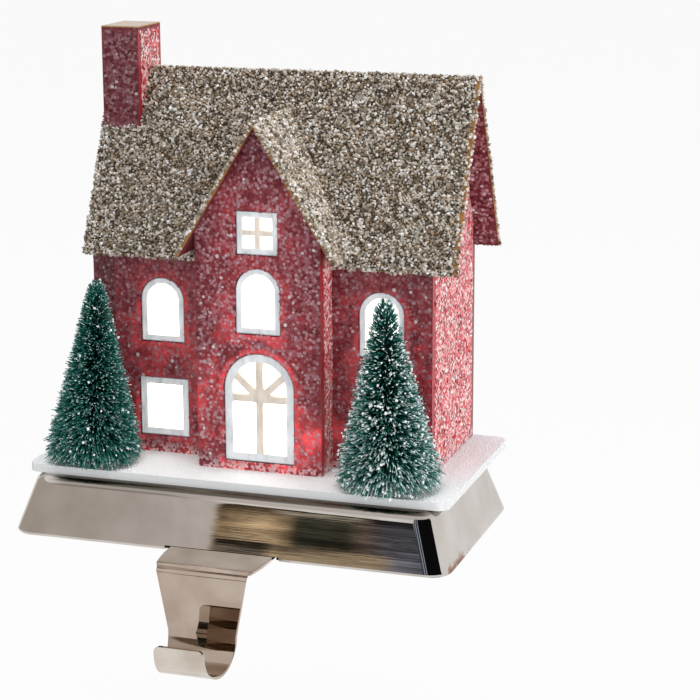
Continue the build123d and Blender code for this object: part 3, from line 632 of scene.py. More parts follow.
def painted_frame(window):
    """Painted card frame that lets some light through, its glazing bars warmed by the light behind them,
    with a painted shadow line round its outer edge.
    """
    paint = Paint(f"{window.name}_paint")
    brush = paint.noise(1.8, stretch=(1, 1, 3), detail=4.0)
    outline = window.distance(paint)
    inside = paint.step(outline, 0.2 - window.bar, -0.4 - window.bar)
    # Painted shadow: a thin dark line round the frame's outer edge, where it meets the wall
    edge = paint.step(outline, -0.45, 0.0)
    rim = paint.mix(brush, (0.68, 0.71, 0.74), (0.86, 0.88, 0.90))
    colour = paint.mix(edge, paint.mix(inside, rim, (0.74, 0.65, 0.55)), (0.20, 0.20, 0.25))
    strength = paint.times(
        paint.step(paint.normal()[1], *front_turn),
        paint.step(brush, 0.0, 0.8),
        paint.span(edge, 1.0, 0.05),
        paint.span(inside, 0.42, 0.37),
    )
    glow = (paint.mix(inside, (0.84, 0.88, 0.91), (1.0, 0.90, 0.81)), strength)
    return paint.shade(colour, paint.span(brush, 0.45, 0.7), (brush, 0.04), glow)


def lit_pane(window):
    """Frosted pane lit from behind, a little warmer at its rim."""
    paint = Paint(f"{window.name}_light")
    outline = window.distance(paint)
    depth = paint.step(outline, -window.bar, -window.bar - 2.5)
    frost = paint.noise(2.0, detail=3.0)
    colour = paint.mix(frost, (0.86, 0.86, 0.84), (0.93, 0.93, 0.91))
    light = paint.mix(depth, (1.0, 0.90, 0.68), (1.0, 0.985, 0.95))
    strength = paint.times(paint.step(outline, -0.5, -0.9), 2.6)
    return paint.shade(colour, paint.span(frost, 0.4, 0.6), glow=(light, strength))


def roof_board(name, roof, slope_axis):
    """Brown card under the granules: raw at its cut edges, red and glittered underneath."""
    paint = Paint(name)
    low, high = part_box(roof)
    ridge = (low[slope_axis] + high[slope_axis]) / 2 / MM
    point = paint.point()
    normal = paint.normal()
    red, speck = red_glitter(paint)
    glue = paint.mix(paint.noise(1.0, detail=3.0), (0.040, 0.027, 0.013), (0.15, 0.107, 0.061))
    fibre = paint.noise(0.8, stretch=(1, 1, 2), detail=4.0)
    raw = paint.mix(fibre, (0.28, 0.115, 0.028), (0.56, 0.29, 0.075))
    aside = paint.minus(point[slope_axis], ridge)
    inward = paint.step(paint.times(aside, normal[slope_axis]), -0.05, -0.1)
    under = paint.times(inward, paint.step(normal[2], -0.1, -0.2))
    rake = paint.step(paint.size(normal[1 - slope_axis]), 0.8, 0.9)
    eave = paint.step(normal[2], -0.6, -0.8)
    bare_end = paint.step(point[0], (high.x - 1.2 * bare_edge) / MM, (high.x - bare_edge) / MM)
    bare = paint.times(bare_end, paint.step(normal[2], 0.2, 0.3))
    colour = paint.mix(paint.most(rake, eave, bare), paint.mix(under, glue, red), raw)
    return paint.shade(colour, paint.span(speck, 0.45, 0.8), (fibre, 0.06))


def granule_glass(name):
    """Champagne glass granules, from brown to cream, each with its own tint and a few bright ones."""
    paint = Paint(name)
    tint = paint.attribute("tint")
    colour = paint.ramp(
        tint,
        (0.0, (0.07, 0.045, 0.022)),
        (0.12, (0.22, 0.178, 0.130)),
        (0.25, (0.37, 0.255, 0.158)),
        (0.38, (0.39, 0.362, 0.300)),
        (0.52, (0.56, 0.455, 0.350)),
        (0.66, (0.60, 0.565, 0.520)),
        (0.80, (0.80, 0.700, 0.590)),
        (0.90, (0.88, 0.85, 0.81)),
        (1.0, (0.99, 0.98, 0.985)),
    )
    coat = {"Coat Weight": 0.2, "Coat Roughness": 0.12}
    return paint.shade(colour, paint.span(tint, 0.5, 0.22), more=coat)


def cap_card(name):
    """The chimney's top: pale and dusty above, a thin bare edge and red sides."""
    paint = Paint(name)
    dust = paint.noise(1.2, detail=4.0)
    top_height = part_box("chimney_cap")[1].z / MM
    top = paint.mix(dust, (0.42, 0.34, 0.28), (0.66, 0.55, 0.475))
    bare = paint.mix(dust, (0.36, 0.20, 0.06), (0.62, 0.42, 0.18))
    rising = paint.step(paint.point()[2], top_height - 0.45, top_height - 0.35)
    edge = paint.mix(rising, red_glitter(paint)[0], bare)
    colour = paint.mix(paint.step(paint.normal()[2], 0.4, 0.7), edge, top)
    return paint.shade(colour, paint.span(dust, 0.5, 0.75), (dust, 0.10))


def snow(name):
    """White board under fine artificial snow, its cut edges bare, the front one lightened by a faint painted
    glow.
    """
    paint = Paint(name)
    normal = paint.normal()
    powder = paint.noise(0.9, detail=4.0)
    white = paint.mix(paint.noise(9.0, detail=2.0), (0.865, 0.885, 0.895), (0.915, 0.935, 0.945))
    top = paint.mix(paint.step(powder, 0.3, 0.6), (0.88, 0.90, 0.91), white)
    bare = paint.mix(powder, (0.83, 0.84, 0.85), (0.89, 0.90, 0.91))
    colour = paint.mix(paint.step(normal[2], 0.6, 0.3), top, bare)
    # Painted light: a faint glow on the front edge only
    glow = (white, paint.times(paint.step(normal[1], -0.6, -0.9), 0.18))
    return paint.shade(colour, paint.span(powder, 0.55, 0.8), (powder, 0.05), glow)


def snow_crystal(name):
    """Clear white grains of artificial snow, with a faint painted glow that lightens their shaded sides."""
    paint = Paint(name)
    tint = paint.attribute("tint")
    colour = paint.ramp(tint, (0.0, (0.89, 0.915, 0.925)), (1.0, (0.95, 0.97, 0.975)))
    # Painted light: a faint glow that lifts the grains' shaded facets
    glow = ((0.95, 0.97, 1.0), paint.span(tint, 0.10, 0.16))
    return paint.shade(colour, paint.span(tint, 0.7, 0.35), glow=glow)


def frosted_bristle(name, cover):
    """Green bristles, darkest at the wire as painted shade, frost on the ends of some, longer where the
    cover is larger.
    """
    paint = Paint(name)
    along = paint.attribute("along")
    # Painted shade: the green darkens towards the wire, inside the crown
    green = paint.ramp(
        along,
        (0.0, (0.002, 0.024, 0.018)),
        (0.55, (0.006, 0.088, 0.069)),
        (0.85, (0.015, 0.165, 0.134)),
        (1.0, (0.055, 0.270, 0.228)),
    )
    frost = paint.step(paint.math("MULTIPLY_ADD", paint.attribute("frost"), cover, along), 1.13, 1.20)
    return paint.shade(paint.mix(frost, green, (0.74, 0.87, 0.86)), paint.span(frost, 0.35, 0.6))


# Faces of the nodes, and points on them

def unit(vectors):
    """Vectors made one long."""
    return vectors / np.linalg.norm(vectors, axis=-1, keepdims=True)


def triangles(node):
    """Corners, normals and areas of a node's triangles."""
    mesh = nodes[node].data
    mesh.calc_loop_triangles()
    index = np.empty(3 * len(mesh.loop_triangles), np.int32)
    mesh.loop_triangles.foreach_get("vertices", index)
    points = np.empty(3 * len(mesh.vertices), np.float32)
    mesh.vertices.foreach_get("co", points)
    corners = points.reshape(-1, 3)[index].reshape(-1, 3, 3).astype(float)
    across = np.cross(corners[:, 1] - corners[:, 0], corners[:, 2] - corners[:, 0])
    doubled = np.maximum(np.linalg.norm(across, axis=1), 1e-15)
    return corners, across / doubled[:, None], doubled / 2


def slope_plane(roof, axis, sign):
    """The outward direction of a ridged roof's slope to one side of an axis, and how far out it lies."""
    corners, normals, areas = triangles(roof)
    outward = (normals[:, 2] > slope_turn) & (sign * normals[:, axis] > slope_turn)
    largest = np.where(outward, areas, 0).argmax()
    return normals[largest], corners[largest, 0] @ normals[largest]


def outer_faces(node, direction, depth=face_depth, turn=face_turn):
    """Triangles of a node that face a direction, no further than that from the outermost large one."""
    corners, normals, areas = triangles(node)
    reach = corners.mean(axis=1) @ np.array(direction, float)
    turned = normals @ np.array(direction, float)
    flat = np.where(turned > flat_turn, areas, 0)
    plane = reach[flat > large_share * flat.max()].max()
    keep = (turned > turn) & (np.abs(reach - plane) < depth)
    return corners[keep], normals[keep], areas[keep]


def scatter(surface, spacing, rng):
    """Points spread at random over triangles, no two nearer than the spacing, with their normals."""
    corners, normals, areas = surface
    tries = int(scatter_tries * areas.sum() / spacing**2)
    chosen = rng.choice(len(areas), tries, p=areas / areas.sum())
    a, b = rng.random((2, tries, 1))
    beyond = a + b > 1
    a, b = np.where(beyond, 1 - a, a), np.where(beyond, 1 - b, b)
    start, second, third = (corners[chosen, k] for k in range(3))
    points = start + a * (second - start) + b * (third - start)
    cells = np.floor(points / spacing).astype(int)
    near = [(i, j, k) for i in (-1, 0, 1) for j in (-1, 0, 1) for k in (-1, 0, 1)]
    taken = {}
    good = []
    for number, ((x, y, z), (u, v, w)) in enumerate(zip(points.tolist(), cells.tolist())):
        crowd = [p for i, j, k in near for p in taken.get((u + i, v + j, w + k), ())]
        if all((p[0] - x)**2 + (p[1] - y)**2 + (p[2] - z)**2 > spacing**2 for p in crowd):
            taken.setdefault((u, v, w), []).append((x, y, z))
            good.append(number)
    return points[good], normals[chosen[good]]


def spread(surfaces, spacing, rng):
    """Points scattered over several surfaces, with their normals."""
    parts = [scatter(surface, spacing, rng) for surface in surfaces]
    return [np.concatenate(part) for part in zip(*parts)]


def between(axis, low, high):
    """A test of which points lie between two limits along an axis."""
    return lambda points: (points[:, axis] > low) & (points[:, axis] < high)


def beside(axis, low, high):
    """A test of which points lie outside two limits along an axis."""
    return lambda points: (points[:, axis] < low) | (points[:, axis] > high)


# Pieces of many small solids

def add_piece(name, mesh, material, smooth=None):
    """Put a mesh in the scene as a piece of the holder, smooth up to an angle where one is given."""
    if smooth:
        mesh.shade_smooth()
        mesh.set_sharp_from_angle(angle=smooth)
    else:
        mesh.shade_flat()
    mesh.materials.append(material)
    piece = bpy.data.objects.new(name, mesh)
    if smooth:
        even = piece.modifiers.new("flat_faces_stay_flat", "WEIGHTED_NORMAL")
        even.weight = 100
        even.keep_sharp = True
    bpy.context.scene.collection.objects.link(piece)
    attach(piece, "holder")
    return piece


def swarm(name, corners, faces, material, numbers):
    """A piece of many small solids: the corners of each, the triangles of all, and numbers kept on them."""
    copies, size = corners.shape[:2]
    count = copies * len(faces)
    index = size * np.arange(copies)[:, None, None] + np.array(faces)
    mesh = bpy.data.meshes.new(name)
    mesh.vertices.add(copies * size)
    mesh.vertices.foreach_set("co", corners.astype(np.float32).ravel())
    mesh.loops.add(3 * count)
    mesh.loops.foreach_set("vertex_index", index.astype(np.int32).ravel())
    mesh.polygons.add(count)
    mesh.polygons.foreach_set("loop_start", np.arange(0, 3 * count, 3, dtype=np.int32))
    for key, values in numbers.items():
        everywhere = np.broadcast_to(values, (copies, size)).astype(np.float32)
        kept = mesh.attributes.new(key, "FLOAT", "POINT")
        kept.data.foreach_set("value", everywhere.ravel())
    mesh.update(calc_edges=True)
    mesh.validate()
    return add_piece(name, mesh, material)


def random_turns(count, rng):
    """Rotation matrices spread evenly over all turns."""
    w, x, y, z = unit(rng.normal(size=(count, 4))).T
    rows = [
        [1 - 2 * (y * y + z * z), 2 * (x * y - z * w), 2 * (x * z + y * w)],
        [2 * (x * y + z * w), 1 - 2 * (x * x + z * z), 2 * (y * z - x * w)],
        [2 * (x * z - y * w), 2 * (y * z + x * w), 1 - 2 * (x * x + y * y)],
    ]
    return np.array(rows).transpose(2, 0, 1)


def grain_piece(name, points, lifts, radius, material, rng):
    """One uneven octahedron at each point, turned at random and lifted by a share of its own size."""
    count = len(points)
    size = rng.uniform(*radius, (count, 1, 1))
    uneven = octahedron * rng.uniform(*corner_shares, (count, len(octahedron), 1)) * size
    turned = uneven @ random_turns(count, rng)
    corners = points[:, None] + lifts[:, None] * size + turned
    tint = rng.random((count, 1))
    return swarm(name, corners, octahedron_faces, material, {"tint": tint})


def grains(name, surfaces, spacing, radius, lift, material, slot, seed, keep=None):
    """Angular grains on surfaces, only at the points that are kept."""
    rng = np.random.default_rng(seed)
    points, normals = spread(surfaces, spacing, rng)
    if keep:
        inside = keep(points)
        points, normals = points[inside], normals[inside]
    return grain_piece(name, points, normals * lift, radius, material, rng)


def circle(middle, radius, side, other, count):
    """Evenly spaced points round a middle, in the plane of two directions."""
    angles = [2 * pi * k / count for k in range(count)]
    return [middle + radius * (cos(angle) * side + sin(angle) * other) for angle in angles]


def flakes(name, surfaces, material, slot, seed, keep=None):
    """Glitter flakes on surfaces: flat lenses with a few sides, each tilted a little."""
    rng = np.random.default_rng(seed)
    points, normals = spread(surfaces, flake_spacing, rng)
    low, high = (np.array(corner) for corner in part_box(slot))
    clear = (points > low + flake_margin) & (points < high - flake_margin)
    inside = (clear | (np.abs(normals) > 0.5)).all(axis=1)
    if keep:
        inside &= keep(points)
    points, normals = points[inside], normals[inside]
    up = unit(normals + flake_tilt * rng.normal(size=points.shape))
    side = unit(np.cross(up, rng.normal(size=points.shape)))
    size = rng.uniform(*flake_radius, (len(points), 1))
    middle = points + normals * (flake_height + flake_lift * flake_tilt * size)
    ring = circle(middle, size, side, np.cross(up, side), flake_sides)
    corners = np.stack([middle + up * flake_height, middle - up * flake_height, *ring], axis=1)
    faces = []
    for k in range(flake_sides):
        a, b = 2 + k, 2 + (k + 1) % flake_sides
        faces += [(0, a, b), (1, b, a)]
    return swarm(name, corners, faces, material, {"tint": rng.random((len(points), 1))})


def brush_tree(side, wide, seed, material):
    """Bristles round a tree's wire: drooping at the foot, level in the middle and upright at the crown.

    Gives the bristles' tips in a random order.
    """
    rng = np.random.default_rng(seed)
    wire = np.array([v.co for v in nodes[f"tree_wire_{side}"].data.vertices])
    low = wire[wire[:, 2] < wire[:, 2].min() + MM].mean(axis=0)
    high = wire[wire[:, 2] > wire[:, 2].max() - MM].mean(axis=0)
    axis = unit(high - low)
    root = low + axis * (board_top - low[2]) / axis[2]
    across = unit(np.cross((0, 1, 0), axis))
    ahead = np.cross(axis, across)
    wire_top = (high - root) @ axis
    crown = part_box(f"tree_bristles_{side}")[1].z - board_top - tree_lowest

    chance = rng.random(bristle_count) * highest_chance
    share = np.append(1 - np.sqrt(1 - chance), rng.uniform(*crown_shares, crown_count))
    count = len(share)
    turn = rng.random(count) * 2 * pi
    reach = wide * np.interp(share, tree_shares, tree_reach) * rng.normal(1.0, reach_spread, count)
    slope = np.interp(share, tree_shares, tree_slope) + rng.normal(0, slope_spread, count)
    tip_height = tree_lowest + share * crown
    start_height = np.clip(tip_height - slope * reach, wire_lowest, wire_top)
    outward = np.cos(turn)[:, None] * across + np.sin(turn)[:, None] * ahead
    start = root + axis * start_height[:, None]
    tip = root + axis * tip_height[:, None] + outward * reach[:, None]
    bend = axis * (reach * rng.normal(*bristle_bend, count))[:, None]
    run = unit(tip - start)
    side_way = unit(np.cross(run, rng.normal(size=run.shape)))
    other_way = np.cross(run, side_way)
    n = bristle_sides
    rings = []
    for middle, radius in zip((start, (start + tip) / 2 + bend, tip), bristle_radii):
        rings += circle(middle, radius, side_way, other_way, n)
    faces = [(0, 2, 1), (2 * n, 2 * n + 1, 2 * n + 2)]
    for ring in (0, n):
        for k in range(n):
            a, b = ring + k, ring + (k + 1) % n
            faces += [(a, b, b + n), (a, b + n, a + n)]
    numbers = {"along": np.repeat((0.0, 0.5, 1.0), n), "frost": rng.random((count, 1))}
    corners = np.stack(rings, axis=1)
    piece = swarm(f"tree_{side}_bristles", corners, faces, material, numbers)
    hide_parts(f"tree_bristles_{side}")
    return tip[rng.permutation(count)]


# Pressed base and strip hook

def shares(steps, first=0):
    """Even shares from 0 to 1, or from a later one."""
    return [k / steps for k in range(first, steps + 1)]


def loft(name, rings):
    """A closed mesh through rings of equally many points, its first and last ring filled."""
    count = len(rings[0])
    points = [tuple(point) for ring in rings for point in ring]
    faces = [tuple(reversed(range(count))), tuple(range(len(points) - count, len(points)))]
    for start in range(0, len(points) - count, count):
        for k in range(count):
            a, b = start + k, start + (k + 1) % count
            faces.append((a, b, b + count, a + count))
    mesh = bpy.data.meshes.new(name)
    mesh.from_pydata(points, [], faces)
    mesh.validate()
    return mesh


def rounded_rectangle(half_width, half_depth, radius, steps):
    """Points round a rectangle with round corners, anticlockwise from its right side."""
    points = []
    for turn, (sx, sy) in enumerate(((1, 1), (-1, 1), (-1, -1), (1, -1))):
        for share in shares(steps):
            angle = (turn + share) * pi / 2
            x = sx * (half_width - radius) + radius * cos(angle)
            y = sy * (half_depth - radius) + radius * sin(angle)
            points.append((x, y))
    return points


def base_profile():
    """The base's section from its inside to its top: inset from the foot, height and corner radius."""
    slope = tan(base_taper)
    wall = base_wall / cos(base_taper)
    inside = base_corner - base_wall
    inner_top = base_height - base_wall
    profile = [(wall + inner_top * slope, inner_top, inside), (wall, 0.0, inside)]
    foot_middle = base_foot * (1 + sin(base_taper)) / cos(base_taper)
    for share in shares(foot_steps):
        angle = -pi / 2 + (pi / 2 + base_taper) * share
        height = base_foot + base_foot * sin(angle)
        profile.append((foot_middle - base_foot * cos(angle), height, base_corner))
    edge_start = base_height - base_edge * (1 - sin(base_taper))
    for height in (base_foot + base_support[0], edge_start - base_support[1]):
        profile.append((height * slope, height, base_corner))
    tangent = base_edge * tan(pi / 4 - base_taper / 2)
    edge_middle = base_height * slope - tangent * sin(base_taper) + base_edge * cos(base_taper)
    for share in shares(edge_steps):
        angle = base_taper + (pi / 2 - base_taper) * share
        height = base_height - base_edge + base_edge * sin(angle)
        narrower = base_edge * (cos(base_taper) - cos(angle))
        profile.append((edge_middle - base_edge * cos(angle), height, base_corner - narrower))
    return profile


def base_mesh():
    """The pressed base: tapered walls, a rounded upper edge, a hollow inside and a notch for the hook."""
    rings = []
    for inset, height, corner in base_profile():
        outline = rounded_rectangle(base_half[0] - inset, base_half[1] - inset, corner, corner_steps)
        around = [(x, y, height) for x, y in outline]
        rise = max(notch_height - height, 0.0)
        front = inset - base_half[1]
        back = front + rise * tan(base_taper)
        notch = [
            (-notch_half, front, height),
            (-notch_half + notch_lean, back, height + rise),
            (notch_half - notch_lean, back, height + rise),
            (notch_half, front, height),
        ]
        front_left = 3 * len(around) // 4
        rings.append(around[:front_left] + notch + around[front_left:])
    return loft("base", rings)


def hook_half_width(y, z):
    """Half the strip's width at a point of its middle line."""
    root, fold, foot, lip = hook_widths
    if z > hook_middle - tolerance:
        return root - hook_sweep + sqrt(hook_sweep**2 - max(hook_shoulder - y, 0.0)**2)
    if y > hook_plate - tolerance:
        share = (hook_middle - z) / (hook_middle - hook_roll_height)
        return fold + hook_flare + (foot - fold - hook_flare) * share
    return foot + (lip - foot) * (hook_plate - y) / (2 * hook_roll)


def hook_mesh():
    """The strip hook: a flat tab, a fold, a tapering plate, a roll and a lip with round corners."""
    tab_end = hook_plate + hook_fold
    plate_top = hook_middle - hook_fold
    plate_drop = hook_roll_height - plate_top
    roll_middle = hook_plate - hook_roll
    line = [(hook_root + (tab_end - hook_root) * share, hook_middle, 0.0) for share in shares(tab_steps)]
    for share in shares(fold_steps, 1):
        angle = pi / 2 * share
        line.append((tab_end - hook_fold * sin(angle), plate_top + hook_fold * cos(angle), angle))
    line += [(hook_plate, plate_top + plate_drop * share, pi / 2) for share in shares(plate_steps, 1)]
    for share in shares(roll_steps, 1):
        angle = pi * share
        y = roll_middle + hook_roll * cos(angle)
        line.append((y, hook_roll_height - hook_roll * sin(angle), pi / 2 - angle))
    corner_start = hook_lip_rise - hook_lip_corner
    rises = [corner_start + hook_lip_corner * sin(pi / 2 * share) for share in shares(lip_steps)]
    line += [(roll_middle - hook_roll, hook_roll_height + rise, -pi / 2) for rise in rises]
    rings = []
    for number, (y, z, lean) in enumerate(line):
        half = hook_half_width(y, z)
        past = z - hook_roll_height - corner_start
        if number > len(line) - len(rises) and past > 0:
            half -= hook_lip_corner - sqrt(max(hook_lip_corner**2 - past**2, 0.0))
        section = rounded_rectangle(half, hook_thickness / 2, hook_edge, strip_steps)
        rings.append([(x, y + across * sin(lean), z + across * cos(lean)) for x, across in section])
    return loft("hook", rings)


base_nickel = nickel("base_nickel", (0.53, 0.485, 0.445), (0.62, 0.58, 0.545), rust_and_painted_shade=True)
# The hook's nickel is darker and warmer than the base's: painted reflection of darker surroundings
hook_nickel = nickel(
    "hook_nickel",
    (0.395, 0.307, 0.245),
    (0.513, 0.423, 0.36),
    painted_reflection_tones=((0.51, 0.435, 0.365), (0.66, 0.60, 0.535)),
)
base_piece = add_piece("pressed_base", base_mesh(), base_nickel, smooth=base_smooth)
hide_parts("base_shell")
hook_piece = add_piece("strip_hook", hook_mesh(), hook_nickel, smooth=hook_smooth)
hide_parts("hook")


# Finish of the CAD nodes

def dress(material, *names):
    """Give nodes a material in place of their own."""
    for name in names:
        slots = nodes[name].data.materials
        slots.clear()
        slots.append(material)


stack_low, stack_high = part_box("chimney_stack")
stack_edges = (stack_low.y + stack_board, stack_high.y - stack_board)
steel = plain_metal("plain_steel", (0.34, 0.34, 0.35), (0.52, 0.52, 0.53), 0.38)
wire_steel = plain_metal("twisted_wire", (0.10, 0.12, 0.11), (0.24, 0.26, 0.25), 0.5)
plastic = moulded("black_plastic", (0.016, 0.016, 0.017), (0.030, 0.030, 0.031), 0.42)
sleeve = moulded("cell_sleeve", (0.05, 0.055, 0.065), (0.09, 0.095, 0.11), 0.3)
# The side boards are a lighter copy of the red board: painted light
lit_side_board = red_board("lit_side_board", lift=side_painted_lift)
stack_sides = red_board("stack_board", cut_axis=0, cut_band=[y / MM for y in stack_edges])

dress(base_nickel, "base_shell")
dress(hook_nickel, "hook")
dress(steel, "bottom_plate", "clamp_screws", "hook_rivets", "battery_door_screw")
dress(steel, "contact_bridge", "contact_negative", "contact_positive")
dress(wire_steel, "tree_wire_left", "tree_wire_right")
dress(plastic, "battery_box", "battery_door", "switch_body", "switch_slider")
dress(sleeve, "battery_cell_front", "battery_cell_back")
dress(plain_metal("cast_iron", (0.05, 0.05, 0.05), (0.11, 0.105, 0.10), 0.7), "ballast")
dress(moulded("foam_rubber", (0.012, 0.012, 0.012), (0.035, 0.035, 0.036), 0.85), "nonslip_sheet")
dress(moulded("lamp_socket", (0.68, 0.68, 0.66), (0.80, 0.80, 0.78), 0.5), "lamp_holder")
dress(moulded("lamp_epoxy", (0.86, 0.84, 0.76), (0.93, 0.91, 0.85), 0.18), "lamp")
dress(moulded("red_lead", (0.28, 0.015, 0.015), (0.40, 0.030, 0.025), 0.4), "lead_positive")
dress(moulded("black_lead", (0.012, 0.012, 0.012), (0.03, 0.03, 0.03), 0.4), "lead_negative")
dress(red_board("front_board", front_windows, glow=front_glow, cut_axis=0), "front_wall")
dress(red_board("bay_board", bay_windows, cut_axis=0), "bay_front_wall")
dress(lit_side_board, "left_wall", "right_wall", "bay_left_cheek", "bay_right_cheek")
dress(red_board("back_board"), "back_wall", "chimney_breast")
dress(stack_sides, "chimney_stack")
for window in front_windows + bay_windows:
    dress(painted_frame(window), f"{window.name}_frame")
    dress(lit_pane(window), f"{window.name}_pane")
dress(roof_board("main_roof_card", "main_roof", 1), "main_roof")
dress(roof_board("bay_roof_card", "bay_roof", 0), "bay_roof")
dress(cap_card("cap_card"), "chimney_cap")
dress(snow("snow_paint"), "snow_board")

# Glitter on the walls
# Lit and shaded copies of one glitter film: painted light and shade
film = flake_film("glitter_film", shaded_tints)
lit_side_film = flake_film("lit_side_glitter_film", lit_side_tints)
rake_film = flake_film("rake_glitter_film", warm_tints)
front_film = flake_film("front_glitter_film", shaded_tints, front_windows, front_glow)
bay_film = flake_film("bay_glitter_film", warm_tints, bay_windows)
bay_low, bay_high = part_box("bay_front_wall")
breast_low, breast_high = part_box("chimney_breast")
house_low, house_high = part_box("front_wall")[0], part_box("back_wall")[1]
bay_roof_low, bay_roof_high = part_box("bay_roof")
undersides = [tuple(-slope_plane("main_roof", 1, sign)[0]) for sign in (-1, 1)]
beside_walls = beside(0, breast_low.x, house_high.x)
beside_bay = beside(0, bay_low.x, bay_high.x)
beside_breast = beside(1, breast_low.y, breast_high.y)

glittered = [
    ("rake_underside", "main_roof", undersides, rake_film, beside_walls),
    ("front_wall", "front_wall", [FRONT], front_film, beside_bay),
    ("bay_front", "bay_front_wall", [FRONT], bay_film, None),
    ("bay_left", "bay_left_cheek", [LEFT], lit_side_film, None),
    ("bay_right", "bay_right_cheek", [RIGHT], lit_side_film, None),
    ("right_wall", "right_wall", [RIGHT], lit_side_film, None),
    ("left_wall", "left_wall", [LEFT], lit_side_film, beside_breast),
    ("back_wall", "back_wall", [BACK], film, None),
    ("breast", "chimney_breast", [LEFT, FRONT, BACK], film, None),
    ("stack_ends", "chimney_stack", [FRONT, BACK], film, None),
    ("stack_sides", "chimney_stack", [LEFT, RIGHT], lit_side_film, between(1, *stack_edges)),
]
for seed, (name, wall, directions, coat, keep) in enumerate(glittered, start=glitter_seed):
    flakes(f"{name}_glitter", [outer_faces(wall, d) for d in directions], coat, wall, seed, keep)

# Granules on the roofs
glass = granule_glass("granule_glass")
beside_bay_roof = beside(0, bay_roof_low.x, bay_roof_high.x)


def cover_roof(roof, axis, rakes, names, seed):
    """Granules on a roof's two slopes, and over the upper part of its cut edges at its rakes and eaves."""
    planes = [slope_plane(roof, axis, sign) for sign in (-1, 1)]
    eaves = [np.cross(unit(np.cross(UP, normal)), normal) for normal, _ in planes]

    def near_slope(points):
        """Points in the upper part of a cut edge, clear of where the bay's roof meets the main one."""
        depths = np.stack([reach - points @ normal for normal, reach in planes])
        near = np.abs(depths).min(axis=0) < edge_depth
        behind = points[:, 1] > house_low.y
        return near & (beside_bay_roof(points) | behind | (roof == "bay_roof"))

    def off_bare_edge(points):
        """Points clear of the right rake, whose edge is worn bare to an uneven line."""
        chance = np.random.default_rng(seed).random(len(points))
        return (points[:, 0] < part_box(roof)[1].x - bare_edge * chance) | (chance > bare_chance)

    surfaces = [[outer_faces(roof, normal, clump_depth, clump_turn)] for normal, _ in planes]
    if len(names) == 1:
        surfaces = [surfaces[0] + surfaces[1]]
    size = (granule_spacing, granule_radius, granule_lift)
    for k, (name, slopes) in enumerate(zip(names, surfaces)):
        keep = off_bare_edge if name.startswith("front") else None
        grains(name, slopes, *size, glass, roof, seed + k, keep)
    edges = [outer_faces(roof, direction) for direction in rakes + eaves]
    grains(f"{roof}_edge_granules", edges, *size, glass, roof, seed + edge_seed_step, near_slope)


cover_roof("main_roof", 1, [RIGHT, LEFT], ["front_slope_granules", "back_slope_granules"], 31)
cover_roof("bay_roof", 0, [FRONT], ["bay_roof_granules"], 41)

# Snow on the board, outside the cottage, and on the trees
crystal = snow_crystal("snow_crystal")
across_house = between(0, house_low.x, house_high.x)
along_house = between(1, house_low.y, house_high.y)


def outside_house(points):
    """Points of the board that the cottage doesn't stand on."""
    return ~(across_house(points) & along_house(points))


board_face = [outer_faces("snow_board", UP)]
size = (grain_spacing, grain_radius, grain_lift)
grains("snow_grains", board_face, *size, crystal, "snow_board", grain_seed, outside_house)

for side, wide, cover, specks, seed in trees:
    tips = brush_tree(side, wide, seed, frosted_bristle(f"frosted_bristle_{side}", cover))[:specks]
    rng = np.random.default_rng(seed)
    grain_piece(f"tree_{side}_snow", tips, 0 * tips, speck_radius, crystal, rng)


# Studio

def seen_directly(paint):
    """1 for what the camera sees, also in gloss or through glass, and 0 for light on the object."""
    path = paint.nodes.new("ShaderNodeLightPath")
    return paint.most(*[path.outputs[f"Is {ray} Ray"] for ray in ("Camera", "Glossy", "Transmission")])


def stage_sheet(name, points, faces, material):
    """A sheet of the studio, which isn't part of the object."""
    mesh = bpy.data.meshes.new(name)
    mesh.from_pydata(points, [], faces)
    mesh.materials.append(material)
    sheet = bpy.data.objects.new(name, mesh)
    bpy.context.scene.collection.objects.link(sheet)
    return sheet


def make_floor():
    """A white floor that keeps the object's soft shadow."""
    paint = Paint("white_floor")
    paint.nodes.remove(paint.shader)
    matt = paint.nodes.new("ShaderNodeBsdfDiffuse")
    paint.feed(matt.inputs["Color"], (floor_grey, floor_grey, floor_grey))
    white = paint.nodes.new("ShaderNodeEmission")
    blend = paint.nodes.new("ShaderNodeMixShader")
    paint.feed(blend.inputs[0], paint.times(seen_directly(paint), floor_white))
    paint.feed(blend.inputs[1], matt.outputs[0])
    paint.feed(blend.inputs[2], white.outputs[0])
    paint.feed(paint.nodes["Material Output"].inputs["Surface"], blend.outputs[0])
    half = floor_size / 2
    around = [(-half, -half), (half, -half), (half, half), (-half, half)]
    stage_sheet("floor", [(x, y, floor_height) for x, y in around], [(0, 1, 2, 3)], paint.data)


def light_world():
    """An even white world, softer on the object than it looks."""
    paint = Paint("studio", bpy.data.worlds)
    background = paint.nodes["Background"]
    paint.feed(background.inputs["Color"], (1, 1, 1))
    paint.feed(background.inputs["Strength"], paint.span(seen_directly(paint), world_light, 1.0))
    bpy.context.scene.world = paint.data


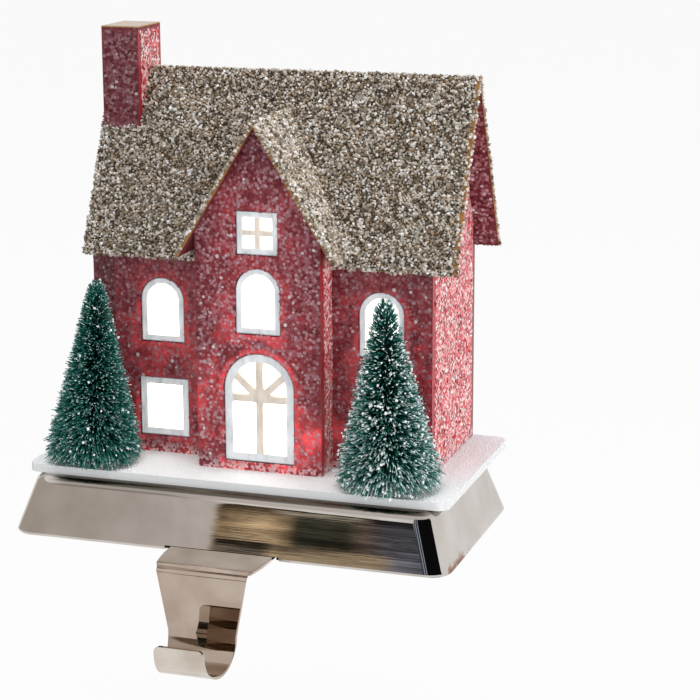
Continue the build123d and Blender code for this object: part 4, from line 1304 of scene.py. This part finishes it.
def mirrored_room():
    """Paint of the mirrored card: grey at the left, brown, black and blue streaks at the right."""
    paint = Paint("mirrored_room")
    x, _, z = paint.split(paint.nodes.new("ShaderNodeNewGeometry").outputs["Position"])
    across = paint.times(paint.minus(x, card_middle), 1 / (MM * card_scale[0]))
    height = paint.times(paint.minus(z, card_foot), 1 / (MM * card_scale[1]))
    streak = paint.noise(2.2, stretch=(70, 1, 1), detail=3.0)
    fine = paint.noise(1.4, stretch=(20, 1, 1), detail=3.0)
    ragged = paint.math("MULTIPLY_ADD", paint.minus(fine, 0.5), card_ragged, across)
    ways = {"across": across, "height": height, "ragged": ragged}

    def patch(steps):
        """How full a patch's steps are, all taken together."""
        return paint.times(*[paint.step(ways[way], low, high) for way, low, high in steps])

    first, last = card_tones[0][0], card_tones[-1][0]
    share = paint.times(paint.minus(ragged, first), 1 / (last - first))
    tone = paint.ramp(share, *[((place - first) / (last - first), colour) for place, colour in card_tones])
    streaked = patch(card_streaked)
    for steps, colour in card_patches:
        tone = paint.mix(paint.times(streaked, patch(steps)), tone, colour)
    streaks = paint.times(
        paint.span(paint.step(streak, 0.42, 0.58), 0.28, 1.65),
        paint.span(patch(card_upper), 1.0, 0.16),
        paint.span(patch(card_blue), 1.0, 0.40),
    )
    streaks = paint.most(streaks, patch(card_line))
    level = paint.math("MULTIPLY_ADD", streaked, paint.minus(streaks, 1.0), 1.0)
    return paint.shade((0, 0, 0), 0.5, glow=(tone, level), more={"Specular IOR Level": 0.0})


def make_mirror_card():
    """A card that only the polished metal sees, flat in front of the base and bent round its two ends."""
    bends = []
    for side, reach, (start, end), head in zip((-1, 1), card_reach, card_turns, card_heads):
        bend = []
        for share in shares(card_steps):
            angle = radians(start + (end - start) * share)
            x = side * base_half[0] + reach * sin(angle)
            bend.append((x, -base_half[1] - reach * cos(angle), head))
        bends.append(bend)
    heads = bends[0] + [(x, card_place, head) for x, head in card_front] + bends[1]
    feet = [(x, y, floor_height + card_gap) for x, y, _ in heads]
    count = len(heads)
    faces = [(k, k + 1, count + k + 1, count + k) for k in range(count - 1)]
    card = stage_sheet("mirror_card", feet + heads, faces, mirrored_room())
    card.visible_camera = False
    card.visible_diffuse = False
    card.visible_shadow = False


def soft_light(name, place, size, power):
    """A square soft box that looks at the middle of the object and isn't mirrored in it."""
    light = bpy.data.lights.new(name, "AREA")
    light.shape = "SQUARE"
    light.size = size
    light.energy = power
    lamp = bpy.data.objects.new(name, light)
    lamp.location = place
    lamp.rotation_euler = (lit_point - Vector(place)).to_track_quat("-Z", "Y").to_euler()
    lamp.visible_glossy = False
    bpy.context.scene.collection.objects.link(lamp)


def make_camera():
    """The camera at the photograph's viewing angle."""
    data = bpy.data.cameras.new("camera")
    data.lens = camera_lens
    data.sensor_width = camera_sensor
    data.clip_start = camera_near
    camera = bpy.data.objects.new("camera", data)
    turn = Matrix.Rotation(camera_azimuth, 4, "Z") @ Matrix.Rotation(pi / 2 - camera_elevation, 4, "X")
    roll = Matrix.Rotation(camera_roll, 4, "Z")
    camera.matrix_world = Matrix.Translation(camera_place) @ turn @ roll
    bpy.context.scene.collection.objects.link(camera)
    bpy.context.scene.camera = camera


make_floor()
make_mirror_card()
light_world()
for name, box in soft_boxes.items():
    soft_light(name, *box)
make_camera()
bpy.context.scene.view_settings.view_transform = "Standard"
